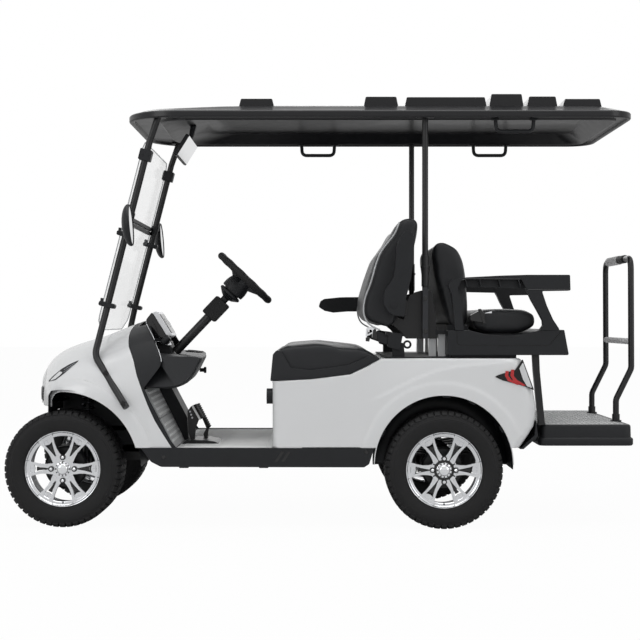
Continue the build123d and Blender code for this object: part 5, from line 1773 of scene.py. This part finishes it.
def pad(start, end, low, high, ribs):
    """A ribbed pad whose face runs from start to end in side view."""
    length = math.dist(start, end)
    half = (high - low) / 2
    parts = [blank(rect(-half, -length / 2, half, length / 2), 0.008, 4, -0.009, 0, "XY")]
    for i in range(ribs):
        y = -length / 2 + length * (i + 0.5) / ribs
        parts.append(box_mesh((-half + 0.006, y - 0.0026, 0), (half - 0.006, y + 0.0026, 0.0032)))
    return moved(merge(parts), laid(start, end, (low + high) / 2))


def make_accelerator():
    arm = mm([(-590.5, 505), (-570, 450), (-552, 408), (-566, 380), (-560, 350), (-544, 350), (-544, 385),
        (-538, 416), (-586, 512)])
    base = blank(mm([(-652, 348), (-640, 358), (-600, 366), (-540, 365), (-500, 359), (-478, 348)]), 0.004, 3,
        -0.312, -0.1)
    return merge([blank(arm, 0.004, 3, -0.154, -0.146), base, rod(-0.552, 0.358, -0.18, -0.12, 0.008, 16)])


piece("brake_arm", merge([make_brake(), make_accelerator()]), POWDER_BLACK, ["pedals"],
    bevel=0.0012)
piece("brake_drillings", make_drillings(), ZINC)
piece("brake_backing", pad((-0.6, 0.523), (-0.564, 0.46), -0.302, -0.228, 1), MAT_GREY,
    bevel=0.001)
piece("pedal_pads", merge([pad((-0.591, 0.527), (-0.556, 0.464), -0.3, -0.23, 8),
    pad((-0.589, 0.523), (-0.533, 0.413), -0.19, -0.11, 12)]), SOFT_BLACK, bevel=0.0008)
print("pedals done")

# %% [markdown]
# The armrests are flat mouldings with a heel that holds the pivot bolt. Both share one
# outline, measured with the arm standing up. The far one is the same outline folded down by
# the joint's whole travel.

# %% Armrests
ARM_PIVOT = Vector((0.303, 0, 0.975))
ARM = mm([(352.7, 1304.7), (380.4, 1291.2), (389.6, 1269.8), (386.6, 1190.2), (383.3, 1159.7), (374.1, 1091.9),
    (352.7, 1006.3), (345.3, 926.3), (340.4, 925.4), (303.7, 931.5), (276.2, 945.1), (257.8, 975.7),
    (254.8, 1012.4), (262.7, 1043), (285.4, 1073.6), (300.7, 1104.2), (308.5, 1159.7), (312.9, 1233.1),
    (328.2, 1275.9)])


ARM_INNER, ARM_OUTER = 0.5285, 0.5655
ARM_TRAVEL = math.radians(-98)


def make_armrest(side):
    """One armrest; side is -1 for the left one, and 1 for the right one, which is folded down."""
    outer = side * ARM_OUTER
    low, high = sorted((side * ARM_INNER, outer))
    bm = blank(ARM, 0.012, 3, low, high)
    bolt = merge([rod(0.299, 0.974, outer - side * 0.001, outer + side * 0.003, 0.0135, 28),
        rod(0.299, 0.974, outer + side * 0.003, outer + side * 0.0045, 0.007, 6)])
    bm = merge([bm, bolt])
    if side > 0:
        turn = Matrix.Rotation(ARM_TRAVEL, 4, "Y")
        moved(bm, Matrix.Translation(ARM_PIVOT) @ turn @ Matrix.Translation(-ARM_PIVOT))
    return bm


for side, name in ((-1, "left"), (1, "right")):
    piece("armrest_pad_" + name, make_armrest(side), BLACK_PLASTIC, ["armrest_" + name], bevel=0.009,
        segments=4, body="arm_" + name)
print("armrests done")

# %% [markdown]
# Behind the front seat stand two steel plates, a belt reel in its bracket and an anchor ring on
# each side, and the white pedestal of the rear bench. The belts end in black buckles with a
# bright tongue. Most of these are outlines given thickness.

# %% Seat plates, pedestal and belts
DECK_Z = 0.743
SEAT_PLATE = mm([(350.7, 909), (360.9, 981), (376.3, 1017), (401.9, 1035), (427.6, 1042.5), (473.7, 1042.5),
    (489.1, 961), (500.3, 828), (360.9, 828), (332.7, 863), (300, 890), (300, 930)])


def make_seat_plates():
    plate = blank(SEAT_PLATE, 0.01, 4, -0.43, -0.408)
    pin = rod(0.303, 0.975, -0.528, -0.41, 0.011, 20)
    ear = blank(mm([(279, 952), (327, 952), (362, 930), (362, 998), (279, 998)]), 0.006, 3, -0.517, -0.5)
    bridge = box_mesh((0.466, -0.41, 0.83), (0.495, -0.388, 0.848))
    return merge([plate, pin, ear, bridge])


def make_reels():
    """A belt reel in its case on each side, with the foot that bolts it down."""
    case = blank(mm([(281.5, 858), (345.5, 850), (330.2, 776), (276.3, 791)]), 0.008, 4, -0.47, -0.432)
    foot = blank(mm([(298, 800), (350, 807), (353, 744), (298, 744)]), 0.004, 2, -0.456, -0.45)
    link = blank(mm([(227, 866), (282.3, 842.6), (277.2, 800), (233.5, 815)]), 0.006, 3, -0.462, -0.44)
    webbing = blank(mm([(262, 838), (280, 848), (292, 860), (270, 858)]), 0.002, 2, -0.474, -0.428)
    return merge([case, foot, link, webbing])


def make_buckles():
    """Black buckle bodies, front and rear."""
    front = blank(mm([(212.9, 870), (227, 864), (233, 820), (207.8, 832.3)]), 0.004, 3, -0.464, -0.438)
    hook = blank(mm([(180, 834), (200, 834), (196, 815), (180, 817)]), 0.002, 2, -0.458, -0.444)
    rear = blank(mm([(642, 932), (682, 952), (708, 940), (703, 898), (642.2, 909)]), 0.006, 3, -0.478, -0.442)
    clip = blank(mm([(679, 960.2), (690, 960.2), (711, 897), (698, 894)]), 0.004, 3, -0.483, -0.437)
    return merge([front, hook, rear, clip])


def frame_plate(outline, hole, low, high):
    """A plate with a window: rings of outline and hole joined both sides."""
    outer, inner = rounded(outline, 0.002, 2), rounded(hole, 0.001, 2)
    rows = []
    for ring, y in ((outer, low), (outer, high), (inner, high), (inner, low)):
        rows.append([Vector((x, y, z)) for x, z in ring])
    rows.append(rows[0])
    return skin(rows, closed=True)


def make_tongues():
    front = frame_plate(mm([(182.1, 873.4), (212.9, 878.6), (223.2, 858), (179.5, 836)]),
        mm([(189, 868), (206, 870), (210, 858), (188, 848)]), -0.453, -0.449)
    rear = frame_plate(mm([(708, 942), (738.7, 950.1), (738.7, 931), (708, 915)]),
        mm([(715, 936), (732, 941), (732, 934.5), (715, 926)]), -0.462, -0.458)
    return merge([front, rear])


def make_anchor_ring():
    ring = circle(lambda c, s: (0.367 + 0.0145 * c, -0.418, 0.8018 + 0.0145 * s), 28)
    return merge([tube(ring, 0.0048, 10, closed=True), cylinder((0.336, -0.418, 0.806), (0.354, -0.418, 0.803),
        0.0048, 10)])


def make_pedestal():
    """The white riser that carries the rear backrest."""
    return merge([blank(rect(x0, DECK_Z, x1, 0.85), 0.004, 3, -0.398, -0.35) for x0,
        x1 in ((0.464, 0.498), (0.506, 0.5405))])


piece("seat_plates", both(make_seat_plates()), POWDER_BLACK, ["seat_supports"], bevel=0.0015)
piece("belt_reels", both(make_reels()), BLACK_PLASTIC, ["seat_belts"], bevel=0.002)
ACROSS = [Matrix.Identity(4), Matrix.Translation((0.036, 0, 0)) @ FLIP_Y]
piece("belt_buckles", copied(make_buckles(), ACROSS), GLOSS_BLACK, bevel=0.0025)
piece("belt_tongues", copied(make_tongues(), ACROSS), CHROME)
piece("anchor_rings", both(make_anchor_ring()), POWDER_BLACK)
piece("pedestal", both(make_pedestal()), BODY_WHITE, bevel=0.004, segments=3)
# Black blocks fill gaps under the rear bench and its backrest. Where the block under the rear cushion shows as
# a black band above the box's scoop, it is painted shadow of the cushion.
core_and_shadow = [box_mesh((0.49, -0.432, 0.848), (0.645, 0.432, 0.866)), box_mesh((0.545, -0.41, 0.864),
    (0.64, 0.41, 0.89)), box_mesh((0.6, -0.45, 0.757), (0.98, 0.45, 0.85)),
    box_mesh((0.262, -0.5, DECK_Z), (0.56, 0.5, 0.749)), box_mesh((0.552, -0.5, DECK_Z), (0.842, 0.5, 0.757))]
piece("pedestal_core_and_shadow", merge(core_and_shadow), BLACK_PLASTIC)
print("belts done")

# %% [markdown]
# The rear bench box has a scooped top edge that the cushion sinks into, and a pressed panel
# line near its foot. The arms beside it are hollow mouldings: a thin outer wall, a flange all
# round and ribs across the open underside.

# %% Rear bench box and arms
BENCH = mm([(537, 757), (537, 865), (633, 866), (670, 856.5), (708, 848), (748, 844), (790, 842.5), (832, 844),
    (870, 849), (906, 857), (936, 865), (1028.8, 867.7), (1047.3, 867.7), (1066.9, 762), (1063, 757)])
BENCH_HALF = 0.538
bench = slab(BENCH, -BENCH_HALF, BENCH_HALF)
piece("bench_box", bench, BLACK_PLASTIC, ["rear_seat_box"], sharp=30, bevel=0.005, segments=3)
line = smooth_path(mm([(576.7, -538.5, 863), (576.7, -538.5, 800), (980, -538.5, 800), (1028.8, -538.5, 856.6),
    (1033, -538.5, 866)]), 0.02, 5)
piece("bench_line", both(tube(line, 0.0014, 6)), GLOSS_BLACK)

ARM_WALL = mm([(569.2, 866), (554.1, 1025), (539.1, 1060.1), (544.1, 1075.2), (560, 1086), (616.9, 1097.8),
    (764.9, 1105.3), (887.6, 1109), (1071.8, 1109), (1074, 1039.6), (949, 1037.7), (970.5, 973.3),
    (998.2, 911.9), (1028.8, 866), (930.6, 866), (942.9, 872), (954, 887.3), (952.1, 908.8), (927.6, 954.9),
    (903, 997.8), (884.6, 1037.7), (860, 1088.7), (616.9, 1090.2), (595, 1082), (579.3, 1050.1), (594.3, 979.8),
    (606.9, 866)])


def make_bench_arms():
    """The arm's outline at full depth, then the inner wall and ribs of its hollow underside."""
    parts = [blank(ARM_WALL, 0.006, 3, -0.54, -0.498)]
    inner = mm([(598, 1090), (862, 1090), (882, 1050), (624.4, 1056), (590, 1040)])
    parts.append(blank(inner, 0.004, 2, -0.505, -0.498))
    for x in (0.62, 0.682, 0.766, 0.852):
        parts.append(slab([(x, 1.056), (x + 0.005, 1.056), (x - 0.003, 1.09), (x - 0.008, 1.09)], -0.536,
            -0.503))
    return merge(parts)


def make_bench_window():
    """A thin lip round the hollow, and the panel step on the beam."""
    lip = tube(smooth_path(mm([(600, -540.8, 1086), (616.9, -540.8, 1091.2), (859, -540.8, 1089.8),
        (884, -540.8, 1040)]), 0.008, 4), 0.0012, 6)
    step = tube([(0.8846, -0.5408, 1.04), (0.893, -0.5408, 1.044), (1.0725, -0.5408, 1.044)], 0.001, 6)
    return merge([lip, step])


piece("bench_arms", both(make_bench_arms()), BLACK_PLASTIC, ["rear_seat_arms"], bevel=0.002)
piece("bench_arm_lines", both(make_bench_window()), GLOSS_BLACK)
print("bench done")

# %% [markdown]
# The step at the back is a moulded tray with a flange and rounded corners, and a chequered top.
# Two posts carry the bench above it. The grab bar is one bent tube with a foam grip.

# %% Step, posts and grab bar
STEP_RINGS = mm([(448, 20), (448, 14), (444, 10), (438, 9), (393, 8), (388, 1.5), (384, 0), (362, 0),
    (356.5, 4), (356.5, 30)])


def make_step():
    rows = []
    for z, inset_by in STEP_RINGS:
        corners = rect(0.942 + inset_by, -0.5 + inset_by, 1.363 - inset_by, 0.5 - inset_by)
        rows.append([Vector((x, y, z)) for x, y in rounded(corners, 0.035, 6)])
    return skin(rows, closed=True, caps=True)


piece("step_tray", make_step(), BLACK_PLASTIC, ["footrest"], sharp=50)
top = blank(rect(-0.18, -0.465, 0.18, 0.465), 0.02, 4, 0.0, 0.0012, "XY")
studs = moved(lozenges(0.34, 0.9, 0.024, lambda x, y: not (x > 0.115 and 0.23 < abs(y) < 0.33)),
    Matrix.Translation((0, 0, 0.0012)))
STEP_TOP = Matrix.Translation((1.15, 0, 0.4478))
piece("step_top", moved(top, STEP_TOP), PLATE_GREY)
piece("step_studs", moved(studs, STEP_TOP), MAT_GREY)

POST = mm([(913.9, 760), (943.1, 760), (946.2, 682.5), (967.9, 460), (972, 448), (937, 448), (940, 460),
    (918.3, 682.5)])
piece("step_posts", both(blank(POST, 0.004, 3, -0.5, -0.464)), POWDER_BLACK, ["rear_posts"], bevel=0.003)


GRAB_HALF = 0.278


def make_grab_bar():
    half = [(x, -GRAB_HALF, z) for x, z in mm([(1328.5, 447), (1328.5, 548), (1398.5, 690), (1396.5, 1194.5)])]
    whole = half + [(x, -y, z) for x, y, z in half[::-1]]
    bar = tube(smooth_path(whole, 0.055, 10), 0.0138, 20)
    feet = []
    for y in (-GRAB_HALF, GRAB_HALF):
        feet.append(cylinder((1.3285, y, 0.448), (1.3285, y, 0.4545), 0.025, 28))
        feet.append(cylinder((1.3285, y, 0.4545), (1.3285, y, 0.482), 0.0175, 28))
    return merge([bar] + feet)


piece("grab_bar_tube", make_grab_bar(), POWDER_BLACK, ["grab_bar"], sharp=50)
grip = [rod(1.3965, 1.1945, -0.04, 0.19, 0.0212, 32)]
for i in range(15):
    y = -0.245 + 0.035 * i
    grip.append(rod(1.3975, 0.813, y - 0.014, y + 0.014, 0.0142, 24))
grip.append(rod(1.3975, 0.813, -0.268, 0.268, 0.0125, 24))
piece("grab_foam", merge(grip), FOAM, ["grab_grip"], bevel=0.002)
piece("grab_sleeve", rod(1.3965, 1.1945, -0.16, -0.043, 0.019, 32), SOFT_BLACK, bevel=0.002)
print("step done")

# %% [markdown]
# The front springs. A coil spring on a real cart is wound from round bar, so here it is a tube
# along a helix, about the damper that runs through it.

# %% Front springs
def make_spring(low, high, start, end, radius, turns):
    low, high = Vector(low), Vector(high)
    along = (high - low).normalized()
    side = along.orthogonal().normalized()
    other = along.cross(side)
    path = []
    for i in range(turns * 20 + 1):
        a = 2 * math.pi * i / 20
        t = start + (end - start) * i / (turns * 20)
        path.append(low.lerp(high, t) + (side * math.cos(a) + other * math.sin(a)) * radius)
    return tube(path, 0.0052, 8)


SHOCK_X = -1.0905
SHOCK_LOW, SHOCK_HIGH = (SHOCK_X, -0.262, 0.212), (SHOCK_X, -0.213, 0.603)
spring = make_spring(SHOCK_LOW, SHOCK_HIGH, 0.36, 0.92, 0.0255, 7)
damper = merge([cylinder(SHOCK_LOW, (SHOCK_X, -0.24, 0.39), 0.019, 20),
    cylinder(SHOCK_LOW, SHOCK_HIGH, 0.0095, 16), cylinder((SHOCK_X, -0.217, 0.572), (SHOCK_X, -0.2135, 0.6),
    0.03, 24), cylinder((SHOCK_X, -0.246, 0.34), (SHOCK_X, -0.2445, 0.352), 0.03, 24)])
piece("front_dampers", both(damper), POWDER_BLACK, ["front_shocks"], bevel=0.001)
piece("front_springs", both(spring), ALLOY_DARK)
print("springs done")

# %% [markdown]
# What is left of the frame keeps its own mesh and gets its finish here.

# %% Finishes for the frame's own pieces
SLOT_FINISH = {
    "tyre": TYRE, "alloy": ALLOY, "frame_steel": POWDER_BLACK, "zinc_steel": ZINC, "black_tube": POWDER_BLACK,
    "body_white": BODY_WHITE, "black_plastic": BLACK_PLASTIC, "lamp_white": LAMP_SILVER, "lamp_red": RED_LENS,
    "vinyl": VINYL, "floor_mat": MAT_PALE, "chequer_plate": ZINC, "foam_grip": FOAM, "clear_pane": PANE,
    "mirror": MIRROR_GLASS, "cell_case": BLACK_PLASTIC,
}
for row in frame["record"]["subparts"]:
    dress(row["node"], SLOT_FINISH[row["material_slot"]])
print(len(NODES), "frame pieces dressed")

# %% The end
print("the end")
